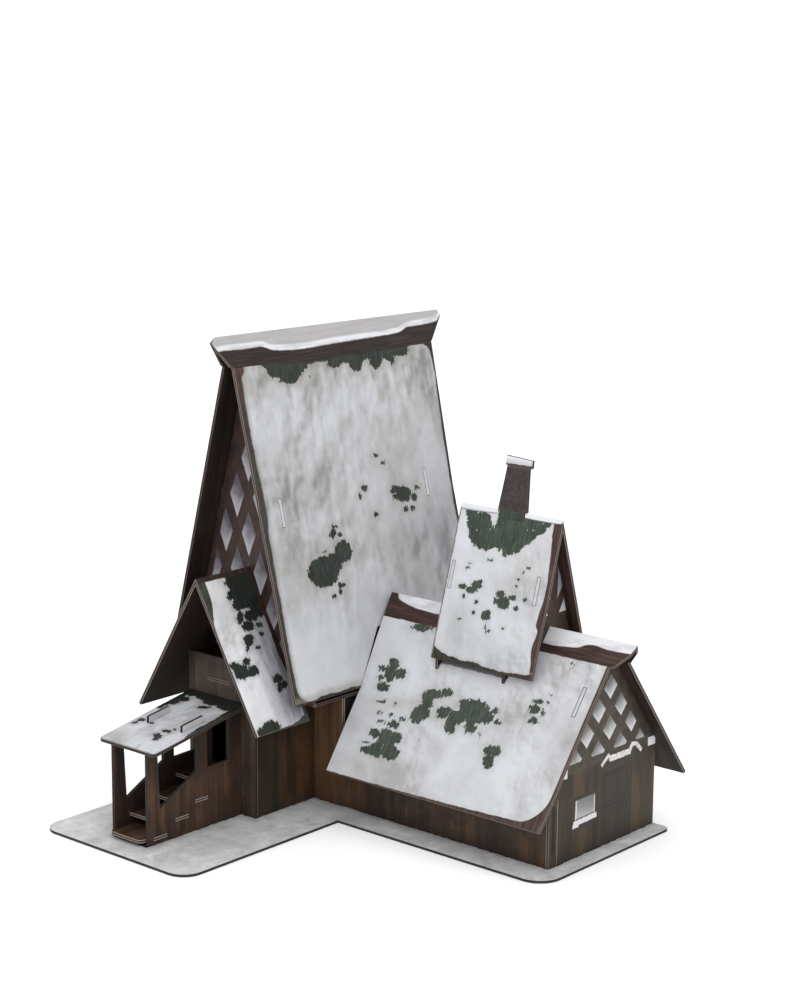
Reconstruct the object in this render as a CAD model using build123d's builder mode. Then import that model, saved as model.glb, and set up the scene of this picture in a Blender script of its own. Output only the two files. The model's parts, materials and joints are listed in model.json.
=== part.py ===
from build123d import *
import os
from math import hypot

# Snow-covered tabletop building assembled from slot-and-tab card boards.
# Millimetres.  +X runs along the tall roof's ridge, away from the stair porch.
# -Y runs along the low wing's ridge, towards the wing's end gable.  +Z is up.
# Site coordinates (X, Y) put (0, 0) at the inner corner of the L-shaped base;
# every plane below subtracts (CX, CY), which moves the origin to the middle of
# the whole building's footprint, at the underside of the base.

# ---- driving dimensions -------------------------------------------------
T = 1.6                 # board thickness
TB = 1.3                # base plate thickness
BT = 2.0                # site height of the base plate's top face
GAP = 0.15              # clearance between boards that meet
SLOT = 0.12             # clearance each side of a tab in its slot

CX, CY, CZ = 16.95, -16.0, BT - TB      # site coordinates of the origin

# base plate
BX0, BX1, BXH = -100.7, 98.9, 108.0    # left edge, wing's right edge, hall's right edge
BY0, BY1 = -123.4, 97.9                 # wing's front edge, back edge

# tall hall
YM, ZM = 53.16, 231.88                  # ridge line
HM, ZME = 44.09, 60.28                  # half width and height of the eaves
HX0, HX1 = -19.0, 120.2                 # roof panel's left and right edges
GFX = -5.8                              # outer face of the front gable
GRX = 100.9                             # outer face of the rear gable
FZ = 57.0                               # underside of the hall's upper floor
HY0, HY1 = 12.33, 93.9                  # outer faces of the hall's long walls

# entrance house under the small gable roof
EX0 = -24.84                            # outer face of its front wall
EY0, EY1 = 30.84, 75.5                  # outer faces of its side walls
EZ = 77.36                              # top of its front wall
SZR, SHS, SZE = 119.1, 40.68, 50.45     # small roof: ridge height, half width, eave height
SX0, SX1 = -41.38, -6.05                # small roof: outer end, end at the hall gable
ATZ = 64.7                              # underside of the attic floor

# stair porch
PX0 = -85.2                             # front edge of the side boards
PY0, PY1 = 40.2, 64.7                  # outer faces of the side boards
PRX0, PRX1 = -86.5, -25.0               # porch roof: front edge, edge at the wall
PRZ0, PRZ1 = 48.0, 57.9                 # its top face's height at those edges
PRY0, PRY1 = 34.0, 72.0              # its sides at the front edge
PRYW0, PRYW1 = 35.6, 74.3            # and at the wall

# low wing
WX0, WX1 = 16.32, 98.48                 # outer faces of its long walls
WY = -113.58                            # outer face of its end gable
XW, ZR = 57.4, 101.13                   # ridge line
HE, ZE = 57.88, 25.32                   # half width and height of its eaves
WYE = -120.3                            # roof panel's end past the gable
WZ = 43.8                               # top of its long walls

# dormer standing astride the wing's ridge
ZD, HD, ZDE = 152.45, 21.78, 80.37      # ridge height, half width, eave height
DY0, DY1 = -26.7, -86.96                # roof panel's ends

os.makedirs("parts", exist_ok=True)


# ---- helper planes ------------------------------------------------------
def plane_x(x):
    """Sketch (y, z) in the plane X = x; extruding runs towards +X."""
    return Plane(origin=(x - CX, -CY, -CZ), x_dir=(0, 1, 0), z_dir=(1, 0, 0))


def plane_y(y):
    """Sketch (x, z) in the plane Y = y; extruding runs towards -Y."""
    return Plane(origin=(-CX, y - CY, -CZ), x_dir=(1, 0, 0), z_dir=(0, -1, 0))


def plane_z(z):
    """Sketch (x, y) in the plane Z = z; extruding runs towards +Z."""
    return Plane(origin=(-CX, -CY, z - CZ), x_dir=(1, 0, 0), z_dir=(0, 0, 1))


def rect(x0, x1, y0, y1):
    """Corner points of an upright rectangle, for a closed polyline."""
    return [(x0, y0), (x1, y0), (x1, y1), (x0, y1)]


class Slope:
    """One side of a gable roof.  Its sketch plane holds the outer face: the
    first coordinate runs along the ridge and the second up the slope, 0 at
    the ridge.  sgn is -1 or +1 for the side of the ridge the slope is on."""

    def __init__(self, axis, mid, top, half, eave, sgn):
        self.axis, self.mid, self.top, self.sgn = axis, mid, top, sgn
        drop = top - eave
        self.len = hypot(half, drop)
        self.c, self.s = drop / self.len, half / self.len
        self.k = half / drop
        if axis == "x":         # ridge parallel to X, slope faces -Y or +Y
            n = (0, sgn * self.c, self.s)
            o = (-CX, mid - CY, top - CZ)
            along = (1, 0, 0) if sgn < 0 else (-1, 0, 0)
        else:                   # ridge parallel to Y, slope faces -X or +X
            n = (sgn * self.c, 0, self.s)
            o = (mid - CX, -CY, top - CZ)
            along = (0, -1, 0) if sgn < 0 else (0, 1, 0)
        self.dir = sum(along)
        self.plane = Plane(origin=o, x_dir=along, z_dir=n)

    def v(self, z):
        """Sketch height of the outer face at world height z."""
        return -(self.top - z) / self.c

    def pts(self, pairs):
        """(ridge coordinate, v) pairs to sketch points on this plane."""
        return [(self.dir * a, b) for a, b in pairs]

    def inner(self, z, gap=GAP):
        """Distance from the ridge's middle plane to the inner face at z."""
        return self.k * (self.top - z) - (T + gap) / self.c

    def tab(self, z0, z1, gap=GAP):
        """Corner points (horizontal, z) of a tab through the panel, flush
        with its outer face, for a board crossing the ridge at right angles."""
        root = []
        for z in (z0, z1):
            a = self.k * (self.top - z) - (T + gap) / self.c - 0.6
            root.append((self.mid + self.sgn * a, z))
        # the outer corners lie square to the slope from the root's corners
        d = T + gap + 0.6 * self.c
        tip = [(a + self.sgn * self.c * d, z + self.s * d) for a, z in root]
        return [root[0], tip[0], tip[1], root[1]]


hall_f = Slope("x", YM, ZM, HM, ZME, -1)
hall_r = Slope("x", YM, ZM, HM, ZME, +1)
ent_r = Slope("x", YM, SZR, SHS, SZE, -1)
ent_l = Slope("x", YM, SZR, SHS, SZE, +1)
wing_l = Slope("y", XW, ZR, HE, ZE, -1)
wing_r = Slope("y", XW, ZR, HE, ZE, +1)
dor_l = Slope("y", XW, ZD, HD, ZDE, -1)
dor_r = Slope("y", XW, ZD, HD, ZDE, +1)

# planes that mitre each pair of panels under their ridge
mitre_hall_f = Plane(origin=(0, YM - CY - 0.03, 0), x_dir=(1, 0, 0), z_dir=(0, -1, 0))
mitre_hall_r = Plane(origin=(0, YM - CY + 0.03, 0), x_dir=(-1, 0, 0), z_dir=(0, 1, 0))
mitre_x_l = Plane(origin=(XW - CX - 0.03, 0, 0), x_dir=(0, -1, 0), z_dir=(-1, 0, 0))
mitre_x_r = Plane(origin=(XW - CX + 0.03, 0, 0), x_dir=(0, 1, 0), z_dir=(1, 0, 0))

# heights of the tabs that hold the roof panels
HALL_TAB = (141.0, 154.2)
WING_TAB = (68.2, 79.8)
DORM_TAB = (112.4, 125.0)

# foot tabs of the upright boards: (centre, width) pairs along each board
FOOT = 1.2              # how deep the foot tabs reach into the base

# ---- base plate ---------------------------------------------------------
# foot slots as (x0, x1, y0, y1), each one board thick
foot_long_wall = [(-95.0, -81.0), (-50.0, -36.0), (-8.0, 4.0)]
foot_right_wall = [(-95.0, -81.0), (-50.0, -36.0)]
foot_end_gable = [(30.0, 42.0), (73.0, 85.0)]
foot_hall_long = [(28.0, 42.0), (74.0, 88.0)]
foot_hall_rear = [(30.0, 42.0), (64.0, 76.0)]
foot_entry_front = [(33.5, 39.0), (67.0, 72.5)]
foot_entry_side = [(-18.0, -9.5), (0.0, 10.0)]
foot_porch = [(-44.0, -32.0)]


def slot_x(x_out, spans):
    """Slots for a board lying in X = x_out .. x_out + T."""
    return [(x_out - SLOT, x_out + T + SLOT, a - SLOT, b + SLOT) for a, b in spans]


def slot_y(y_out, spans):
    """Slots for a board lying in Y = y_out .. y_out + T."""
    return [(a - SLOT, b + SLOT, y_out - SLOT, y_out + T + SLOT) for a, b in spans]


base_slots = (
    slot_x(WX0, foot_long_wall)
    + slot_x(WX1 - T, foot_right_wall)
    + slot_y(WY, foot_end_gable)
    + slot_y(HY0, foot_hall_long)
    + slot_y(HY1 - T, foot_hall_long)
    + slot_x(GRX - T, foot_hall_rear)
    + slot_x(EX0, foot_entry_front)
    + slot_y(EY0, foot_entry_side)
    + slot_y(EY1 - T, foot_entry_side)
    + slot_y(PY0, foot_porch)
    + slot_y(PY1 - T, foot_porch)
)

with BuildPart() as base_plate:
    with BuildSketch(plane_z(BT - TB)):
        with BuildLine():
            Polyline(
                (BX0, 0), (0, 0), (0, BY0), (BX1, BY0), (BX1, 6.0),
                (BXH, 6.0), (BXH, BY1), (BX0, BY1), close=True,
            )
        make_face()
    extrude(amount=TB)
    corner = base_plate.edges().filter_by(Axis.Z)
    fillet(
        corner.filter_by(lambda e: abs(e.center().X - (BX0 - CX)) < 1),
        radius=10.0,
    )
    fillet(
        base_plate.edges().filter_by(Axis.Z).filter_by(
            lambda e: abs(e.center().Y - (BY0 - CY)) < 1 and e.center().X < 0
        ),
        radius=12.0,
    )
    fillet(
        base_plate.edges().filter_by(Axis.Z).filter_by(
            lambda e: abs(e.center().Y - (BY0 - CY)) < 1 and e.center().X > 0
        ),
        radius=3.5,
    )
    fillet(
        base_plate.edges().filter_by(Axis.Z).filter_by(
            lambda e: abs(e.center().X - (BXH - CX)) < 1
        ),
        radius=5.0,
    )
    with BuildSketch(plane_z(BT - TB)):
        for x0, x1, y0, y1 in base_slots:
            with BuildLine():
                Polyline(*rect(x0, x1, y0, y1), close=True)
            make_face()
    extrude(amount=TB, mode=Mode.SUBTRACT)
base_plate.part.label = "base_plate"
export_step(base_plate.part, "parts/base_plate.step")

# ---- hall: upright boards and floor -------------------------------------
# front gable with the printed lattice: a full A above the upper floor, and a
# narrow stem inside the entrance house with the inner doorway cut in it
w57 = hall_f.inner(FZ + 0.1)
with BuildPart() as hall_gable_front:
    with BuildSketch(plane_x(GFX)):
        with BuildLine():
            Polyline(
                (YM - w57, FZ + 0.1), (YM - 0.55, 220.9), (YM + 0.55, 220.9),
                (YM + w57, FZ + 0.1), (EY1 - T - 0.2, FZ + 0.1), (EY1 - T - 0.2, BT),
                (66.0, BT), (66.0, 43.0), (41.0, 43.0), (41.0, BT),
                (EY0 + T + 0.2, BT), (EY0 + T + 0.2, FZ + 0.1), close=True,
            )
        make_face()
        for side in (hall_f, hall_r):
            with BuildLine():
                Polyline(*side.tab(*HALL_TAB), close=True)
            make_face()
    extrude(amount=T)
hall_gable_front.part.label = "hall_gable_front"
export_step(hall_gable_front.part, "parts/hall_gable_front.step")

with BuildPart() as hall_gable_rear:
    with BuildSketch(plane_x(GRX - T)):
        with BuildLine():
            Polyline(
                (YM - w57, FZ), (YM - 0.55, 220.9), (YM + 0.55, 220.9), (YM + w57, FZ),
                (HY1, FZ), (HY1, BT), (HY0, BT), (HY0, FZ), close=True,
            )
        make_face()
        for side in (hall_f, hall_r):
            with BuildLine():
                Polyline(*side.tab(*HALL_TAB), close=True)
            make_face()
        for a, b in foot_hall_rear:
            with BuildLine():
                Polyline(*rect(a, b, BT - FOOT, BT + 0.5), close=True)
            make_face()
    extrude(amount=T)
    # slot that takes the upper floor's tab
    with BuildSketch(plane_x(GRX - T)):
        with BuildLine():
            Polyline(*rect(YM - 12 - SLOT, YM + 12 + SLOT, FZ - SLOT, FZ + T + SLOT), close=True)
        make_face()
    extrude(amount=T, mode=Mode.SUBTRACT)
hall_gable_rear.part.label = "hall_gable_rear"
export_step(hall_gable_rear.part, "parts/hall_gable_rear.step")

wfl = hall_f.inner(FZ + T)
with BuildPart() as hall_floor:
    with BuildSketch(plane_z(FZ)):
        with BuildLine():
            Polyline(
                (GFX + T + GAP, YM - wfl), (GRX - T - GAP, YM - wfl),
                (GRX - T - GAP, YM - 12), (GRX, YM - 12), (GRX, YM + 12),
                (GRX - T - GAP, YM + 12), (GRX - T - GAP, YM + wfl),
                (GFX + T + GAP, YM + wfl), close=True,
            )
        make_face()
    extrude(amount=T)
hall_floor.part.label = "hall_floor"
export_step(hall_floor.part, "parts/hall_floor.step")

# long walls of the hall; the one towards the wing has the opening into it
with BuildPart() as hall_wall_right:
    with BuildSketch(plane_y(HY0 + T)):
        with BuildLine():
            Polyline(
                (WX0 + T + GAP, BT), (44.0, BT), (44.0, 42.0), (71.0, 42.0), (71.0, BT),
                (GRX - T - GAP, BT), (GRX - T - GAP, FZ - 0.05), (WX0 + T + GAP, FZ - 0.05),
                close=True,
            )
        make_face()
        for a, b in foot_hall_long:
            if a > 50 or b < 44:
                with BuildLine():
                    Polyline(*rect(a, b, BT - FOOT, BT + 0.5), close=True)
                make_face()
    extrude(amount=T)
hall_wall_right.part.label = "hall_wall_right"
export_step(hall_wall_right.part, "parts/hall_wall_right.step")

with BuildPart() as hall_wall_left:
    with BuildSketch(plane_y(HY1)):
        with BuildLine():
            Polyline(*rect(WX0 + T + GAP, GRX - T - GAP, BT, FZ - 0.05), close=True)
        make_face()
        for a, b in foot_hall_long:
            with BuildLine():
                Polyline(*rect(a, b, BT - FOOT, BT + 0.5), close=True)
            make_face()
    extrude(amount=T)
hall_wall_left.part.label = "hall_wall_left"
export_step(hall_wall_left.part, "parts/hall_wall_left.step")

with BuildPart() as hall_wall_front:
    with BuildSketch(plane_x(WX0)):
        with BuildLine():
            Polyline(*rect(EY1 + GAP, HY1, BT, FZ - 0.05), close=True)
        make_face()
    extrude(amount=T)
hall_wall_front.part.label = "hall_wall_front"
export_step(hall_wall_front.part, "parts/hall_wall_front.step")

# ---- hall roof ----------------------------------------------------------
# each panel is one board: a beam band along the ridge that flares past the
# panel's ends, then the straight-sided field down to the eave
hall_outline = [
    (-27.2, 0.0), (-30.0, -3.0), (-20.2, -14.9), (-18.9, -15.4), (HX0, -hall_f.len),
    (HX1, -hall_f.len), (HX1, -90.0), (123.6, -15.9), (124.4, -15.4), (134.6, -3.0),
    (131.9, 0.0),
]


def tab_span(side, z0, z1, clear):
    """Sketch span up the slope of a tab between heights z0 and z1."""
    vs = []
    for z in (z0, z1):
        a = side.k * (side.top - z) - (T + GAP) / side.c - 0.6
        # project the tab's inner corner on the slope direction
        vs.append(-(a * side.s + (side.top - z) * side.c))
    return min(vs) - clear, max(vs) + clear


def slots_along(side, planes, z0, z1, clear):
    lo, hi = tab_span(side, z0, z1, clear)
    return [side.pts(rect(p - SLOT, p + T + SLOT, lo, hi)) for p in planes]


with BuildPart() as hall_roof_front:
    with BuildSketch(hall_f.plane):
        with BuildLine():
            Polyline(*hall_f.pts(hall_outline), close=True)
        make_face()
        for pts in slots_along(hall_f, (GFX, GRX - T), *HALL_TAB, 0.2):
            with BuildLine():
                Polyline(*pts, close=True)
            make_face(mode=Mode.SUBTRACT)
    extrude(amount=-T)
    split(bisect_by=mitre_hall_f, keep=Keep.TOP)
    # the wing's roof is let into the panel's lower edge
    with BuildSketch(plane_y(YM)):
        half = lambda z: wing_l.k * (ZR + 0.5 - z)
        with BuildLine():
            Polyline(
                (XW - half(50.0), 50.0), (XW - half(86.0), 86.0),
                (XW + half(86.0), 86.0), (XW + half(50.0), 50.0), close=True,
            )
        make_face()
    extrude(amount=60.0, mode=Mode.SUBTRACT)
hall_roof_front.part.label = "hall_roof_front"
export_step(hall_roof_front.part, "parts/hall_roof_front.step")

with BuildPart() as hall_roof_rear:
    with BuildSketch(hall_r.plane):
        with BuildLine():
            Polyline(*hall_r.pts(hall_outline), close=True)
        make_face()
        for pts in slots_along(hall_r, (GFX, GRX - T), *HALL_TAB, 0.45):
            with BuildLine():
                Polyline(*pts, close=True)
            make_face(mode=Mode.SUBTRACT)
    extrude(amount=-T)
    split(bisect_by=mitre_hall_r, keep=Keep.TOP)
hall_roof_rear.part.label = "hall_roof_rear"
export_step(hall_roof_rear.part, "parts/hall_roof_rear.step")

# ---- entrance house -----------------------------------------------------
with BuildPart() as entry_front_wall:
    with BuildSketch(plane_x(EX0)):
        with BuildLine():
            Polyline(*rect(EY0, EY1, BT, EZ - 0.15), close=True)
        make_face()
        for a, b in foot_entry_front:
            with BuildLine():
                Polyline(*rect(a, b, BT - FOOT, BT + 0.5), close=True)
            make_face()
        # doorway at the head of the stair, and the attic floor's slot
        with BuildLine():
            Polyline(*rect(YM - 8.2, YM + 7.4, 24.2, 52.0), close=True)
        make_face(mode=Mode.SUBTRACT)
        with BuildLine():
            Polyline(*rect(47.6 - SLOT, 63.4 + SLOT, ATZ - SLOT, ATZ + T + SLOT), close=True)
        make_face(mode=Mode.SUBTRACT)
    extrude(amount=T)
entry_front_wall.part.label = "entry_front_wall"
export_step(entry_front_wall.part, "parts/entry_front_wall.step")

side_outline = [
    (EX0 + T + GAP, BT), (WX0 - GAP, BT), (WX0 - GAP, FZ - 0.1), (GFX - GAP, FZ - 0.1),
    (GFX - GAP, EZ - 0.3), (EX0 + T + GAP, EZ - 0.3),
]
with BuildPart() as entry_wall_right:
    with BuildSketch(plane_y(EY0 + T)):
        with BuildLine():
            Polyline(*side_outline, close=True)
        make_face()
        for a, b in foot_entry_side:
            with BuildLine():
                Polyline(*rect(a, b, BT - FOOT, BT + 0.5), close=True)
            make_face()
    extrude(amount=T)
entry_wall_right.part.label = "entry_wall_right"
export_step(entry_wall_right.part, "parts/entry_wall_right.step")

with BuildPart() as entry_wall_left:
    with BuildSketch(plane_y(EY1)):
        with BuildLine():
            Polyline(*side_outline, close=True)
        make_face()
        for a, b in foot_entry_side:
            with BuildLine():
                Polyline(*rect(a, b, BT - FOOT, BT + 0.5), close=True)
            make_face()
    extrude(amount=T)
entry_wall_left.part.label = "entry_wall_left"
export_step(entry_wall_left.part, "parts/entry_wall_left.step")

with BuildPart() as entry_attic_floor:
    with BuildSketch(plane_z(ATZ)):
        with BuildLine():
            Polyline(
                (EX0 + T + GAP, EY0 + T + GAP), (GFX - GAP, EY0 + T + GAP),
                (GFX - GAP, EY1 - T - GAP), (EX0 + T + GAP, EY1 - T - GAP),
                (EX0 + T + GAP, 63.4), (EX0, 63.4), (EX0, 47.6), (EX0 + T + GAP, 47.6),
                close=True,
            )
        make_face()
    extrude(amount=T)
entry_attic_floor.part.label = "entry_attic_floor"
export_step(entry_attic_floor.part, "parts/entry_attic_floor.step")

entry_outline = [(SX0, 0.0), (SX0, -ent_r.len), (SX1, -ent_r.len), (SX1, 0.0)]
with BuildPart() as entry_roof_right:
    with BuildSketch(ent_r.plane):
        with BuildLine():
            Polyline(*ent_r.pts(entry_outline), close=True)
        make_face()
    extrude(amount=-T)
    split(bisect_by=mitre_hall_f, keep=Keep.TOP)
entry_roof_right.part.label = "entry_roof_right"
export_step(entry_roof_right.part, "parts/entry_roof_right.step")

with BuildPart() as entry_roof_left:
    with BuildSketch(ent_l.plane):
        with BuildLine():
            Polyline(*ent_l.pts(entry_outline), close=True)
        make_face()
    extrude(amount=-T)
    split(bisect_by=mitre_hall_r, keep=Keep.TOP)
entry_roof_left.part.label = "entry_roof_left"
export_step(entry_roof_left.part, "parts/entry_roof_left.step")

# ---- stair porch --------------------------------------------------------
PK = (PRZ1 - PRZ0) / (PRX1 - PRX0)


def porch_top(x, gap=0.1):
    """Height of the side boards' top edge under the porch roof at x."""
    return PRZ0 + PK * (x - PRX0) - T * hypot(1, PK) - gap


PTAB = (-62.8, -49.4)           # roof tab of each side board
PTAB_UP = 2.9                   # how far it stands up through the roof
# treads: (front x, back x, middle height, tab's front x, tab's back x)
TREADS = [
    (-88.8, -71.5, 4.7, -81.8, -73.3),
    (-76.3, -58.5, 10.5, -67.9, -59.4),
    (-62.2, -45.0, 16.3, -55.2, -46.8),
]
LANDING = (-46.4, PRX1 - 0.1, 22.2)     # front x, back x, middle height
tab_z = PRZ0 + PK * (PTAB[0] - PRX0) + PTAB_UP
porch_outline = [
    (PX0, BT), (PRX1, BT), (PRX1, porch_top(PRX1)),
    (PTAB[1], porch_top(PTAB[1])), (PTAB[1], tab_z + PK * (PTAB[1] - PTAB[0])),
    (PTAB[0], tab_z), (PTAB[0], porch_top(PTAB[0])),
    (PX0, porch_top(PX0)),
]
porch_open_1 = [
    (-77.5, 18.4), (-53.9, 31.0), (-53.9, porch_top(-53.9) - 1.8), (-78.8, porch_top(-78.8) - 1.8),
]
porch_open_2 = [
    (-47.1, 31.0), (-33.3, 31.4), (-33.3, porch_top(-33.3) - 1.8), (-47.1, porch_top(-47.1) - 1.8),
]
tread_slots = [rect(a - SLOT, b + SLOT, z - T / 2 - SLOT, z + T / 2 + SLOT) for _, _, z, a, b in TREADS]

with BuildPart() as porch_side_right:
    with BuildSketch(plane_y(PY0 + T)):
        with BuildLine():
            Polyline(*porch_outline, close=True)
        make_face()
        for a, b in foot_porch:
            with BuildLine():
                Polyline(*rect(a, b, BT - FOOT, BT + 0.5), close=True)
            make_face()
        for pts in [porch_open_1, porch_open_2] + tread_slots:
            with BuildLine():
                Polyline(*pts, close=True)
            make_face(mode=Mode.SUBTRACT)
    extrude(amount=T)
porch_side_right.part.label = "porch_side_right"
export_step(porch_side_right.part, "parts/porch_side_right.step")

with BuildPart() as porch_side_left:
    with BuildSketch(plane_y(PY1)):
        with BuildLine():
            Polyline(*porch_outline, close=True)
        make_face()
        for a, b in foot_porch:
            with BuildLine():
                Polyline(*rect(a, b, BT - FOOT, BT + 0.5), close=True)
            make_face()
        for pts in [porch_open_1, porch_open_2] + tread_slots:
            with BuildLine():
                Polyline(*pts, close=True)
            make_face(mode=Mode.SUBTRACT)
    extrude(amount=T)
porch_side_left.part.label = "porch_side_left"
export_step(porch_side_left.part, "parts/porch_side_left.step")

plen = hypot(PRX1 - PRX0, PRZ1 - PRZ0)
porch_plane = Plane(
    origin=(PRX0 - CX, -CY, PRZ0 - CZ),
    x_dir=(PRX1 - PRX0, 0, PRZ1 - PRZ0),
    z_dir=(-(PRZ1 - PRZ0), 0, PRX1 - PRX0),
)
with BuildPart() as porch_roof:
    with BuildSketch(porch_plane):
        with BuildLine():
            Polyline((0, PRY0), (plen, PRYW0), (plen, PRYW1), (0, PRY1), close=True)
        make_face()
    extrude(amount=-T)
    fillet(porch_roof.edges().filter_by(Axis(porch_plane.origin, porch_plane.z_dir)).group_by(Axis.X)[0], radius=2.2)
    # upright slots, so the roof lifts straight off the side boards' tabs
    with BuildSketch(plane_z(40.0)):
        for y in (PY0, PY1 - T):
            with BuildLine():
                Polyline(*rect(PTAB[0] - 0.25, PTAB[1] + 0.25, y - SLOT, y + T + SLOT), close=True)
            make_face()
    extrude(amount=30.0, mode=Mode.SUBTRACT)
    # square the upper end so that it stands clear of the wall
    with BuildSketch(plane_z(40.0)):
        with BuildLine():
            Polyline(*rect(PRX1, PRX1 + 10, PRY0 - 1, PRYW1 + 1), close=True)
        make_face()
    extrude(amount=30.0, mode=Mode.SUBTRACT)
porch_roof.part.label = "porch_roof"
export_step(porch_roof.part, "parts/porch_roof.step")


def tread_outline(x0, x1, t0, t1):
    """Tread with a tab on each side that ends flush with the side boards."""
    yi0, yi1 = PY0 + T + GAP, PY1 - T - GAP
    return [
        (x0, yi0), (t0, yi0), (t0, PY0), (t1, PY0), (t1, yi0), (x1, yi0),
        (x1, yi1), (t1, yi1), (t1, PY1), (t0, PY1), (t0, yi1), (x0, yi1),
    ]


with BuildPart() as stair_tread_1:
    x0, x1, z, t0, t1 = TREADS[0]
    with BuildSketch(plane_z(z - T / 2)):
        with BuildLine():
            Polyline(*tread_outline(x0, x1, t0, t1), close=True)
        make_face()
    extrude(amount=T)
    # the lowest tread stands out in front of the posts, with round corners
    fillet(
        stair_tread_1.edges().filter_by(Axis.Z).group_by(Axis.X)[0],
        radius=2.6,
    )
stair_tread_1.part.label = "stair_tread_1"
export_step(stair_tread_1.part, "parts/stair_tread_1.step")

with BuildPart() as stair_tread_2:
    x0, x1, z, t0, t1 = TREADS[1]
    with BuildSketch(plane_z(z - T / 2)):
        with BuildLine():
            Polyline(*tread_outline(x0, x1, t0, t1), close=True)
        make_face()
    extrude(amount=T)
stair_tread_2.part.label = "stair_tread_2"
export_step(stair_tread_2.part, "parts/stair_tread_2.step")

with BuildPart() as stair_tread_3:
    x0, x1, z, t0, t1 = TREADS[2]
    with BuildSketch(plane_z(z - T / 2)):
        with BuildLine():
            Polyline(*tread_outline(x0, x1, t0, t1), close=True)
        make_face()
    extrude(amount=T)
stair_tread_3.part.label = "stair_tread_3"
export_step(stair_tread_3.part, "parts/stair_tread_3.step")

with BuildPart() as stair_landing:
    x0, x1, z = LANDING
    with BuildSketch(plane_z(z - T / 2)):
        with BuildLine():
            Polyline(*rect(x0, x1, PY0 + T + GAP, PY1 - T - GAP), close=True)
        make_face()
    extrude(amount=T)
stair_landing.part.label = "stair_landing"
export_step(stair_landing.part, "parts/stair_landing.step")

# ---- wing: upright boards -----------------------------------------------
# the long wall runs on past the wing and rises to the hall's eave
with BuildPart() as wing_wall_left:
    with BuildSketch(plane_x(WX0)):
        with BuildLine():
            Polyline(
                (WY + T + GAP, BT), (EY0 - 0.0, BT), (EY0 - 0.0, FZ - 0.05),
                (HY0, FZ - 0.05), (HY0, WZ), (WY + T + GAP, WZ), close=True,
            )
        make_face()
        for a, b in foot_long_wall:
            with BuildLine():
                Polyline(*rect(a, b, BT - FOOT, BT + 0.5), close=True)
            make_face()
    extrude(amount=T)
wing_wall_left.part.label = "wing_wall_left"
export_step(wing_wall_left.part, "parts/wing_wall_left.step")

with BuildPart() as wing_wall_right:
    with BuildSketch(plane_x(WX1 - T)):
        with BuildLine():
            Polyline(*rect(WY + T + GAP, HY0 - GAP, BT, WZ), close=True)
        make_face()
        for a, b in foot_right_wall:
            with BuildLine():
                Polyline(*rect(a, b, BT - FOOT, BT + 0.5), close=True)
            make_face()
    extrude(amount=T)
wing_wall_right.part.label = "wing_wall_right"
export_step(wing_wall_right.part, "parts/wing_wall_right.step")


def wing_gable_top(gap=GAP):
    """Outline of a cross board under the wing's roof, from (WX0, WZ) over the top."""
    top = 96.4
    a = wing_l.inner(top, gap)
    zs = ZR - (XW - WX0 + (T + gap) / wing_l.c) / wing_l.k
    return [(WX1, zs), (XW + a, top), (XW - a, top), (WX0, zs)]


with BuildPart() as wing_end_gable:
    with BuildSketch(plane_y(WY + T)):
        with BuildLine():
            Polyline((WX0, BT), (WX1, BT), *wing_gable_top(), close=True)
        make_face()
        for side in (wing_l, wing_r):
            with BuildLine():
                Polyline(*side.tab(*WING_TAB), close=True)
            make_face()
        for a, b in foot_end_gable:
            with BuildLine():
                Polyline(*rect(a, b, BT - FOOT, BT + 0.5), close=True)
            make_face()
    extrude(amount=T)
wing_end_gable.part.label = "wing_end_gable"
export_step(wing_end_gable.part, "parts/wing_end_gable.step")

WIY = 1.0               # the inner rib's face towards the hall
with BuildPart() as wing_inner_gable:
    with BuildSketch(plane_y(WIY)):
        zt = WZ - 0.2
        with BuildLine():
            Polyline(
                (WX0 + T + GAP, BT), (44.0, BT), (44.0, 42.0), (71.0, 42.0), (71.0, BT),
                (WX1 - T - GAP, BT), (WX1 - T - GAP, zt + 0.9), (XW + wing_l.inner(96.4), 96.4),
                (XW - wing_l.inner(96.4), 96.4), (WX0 + T + GAP, zt + 0.9), close=True,
            )
        make_face()
    extrude(amount=T)
wing_inner_gable.part.label = "wing_inner_gable"
export_step(wing_inner_gable.part, "parts/wing_inner_gable.step")

# ---- wing roof ----------------------------------------------------------
# its inner end follows the hall's roof slope, then runs on down to the eave
wing_outline = [
    (17.0, 0.0), (13.6, wing_l.v(81.0)), (9.6, wing_l.v(60.0)), (7.4, -wing_l.len),
    (WYE, -wing_l.len), (WYE, -13.4), (-122.3, -12.7), (-128.1, -5.6),
    (-129.9, -1.2), (-129.5, 0.0),
]
# vertical slots for the dormer gables' feet
DFX = (9.0, 14.4)      # feet: distance from the ridge's middle plane
DGY = (-28.4, -79.2)    # +Y face of each dormer gable


def feet_boxes():
    out = []
    for y in DGY:
        for s in (-1, 1):
            a, b = sorted((XW + s * DFX[0], XW + s * DFX[1]))
            out.append(rect(a - 0.2, b + 0.2, y - T - SLOT, y + SLOT))
    return out


with BuildPart() as wing_roof_left:
    with BuildSketch(wing_l.plane):
        with BuildLine():
            Polyline(*wing_l.pts(wing_outline), close=True)
        make_face()
        for pts in slots_along(wing_l, (WY,), *WING_TAB, 0.2):
            with BuildLine():
                Polyline(*pts, close=True)
            make_face(mode=Mode.SUBTRACT)
    extrude(amount=-T)
    split(bisect_by=mitre_x_l, keep=Keep.TOP)
    with BuildSketch(plane_z(60.0)):
        for pts in feet_boxes():
            with BuildLine():
                Polyline(*pts, close=True)
            make_face()
    extrude(amount=50.0, mode=Mode.SUBTRACT)
wing_roof_left.part.label = "wing_roof_left"
export_step(wing_roof_left.part, "parts/wing_roof_left.step")

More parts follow.
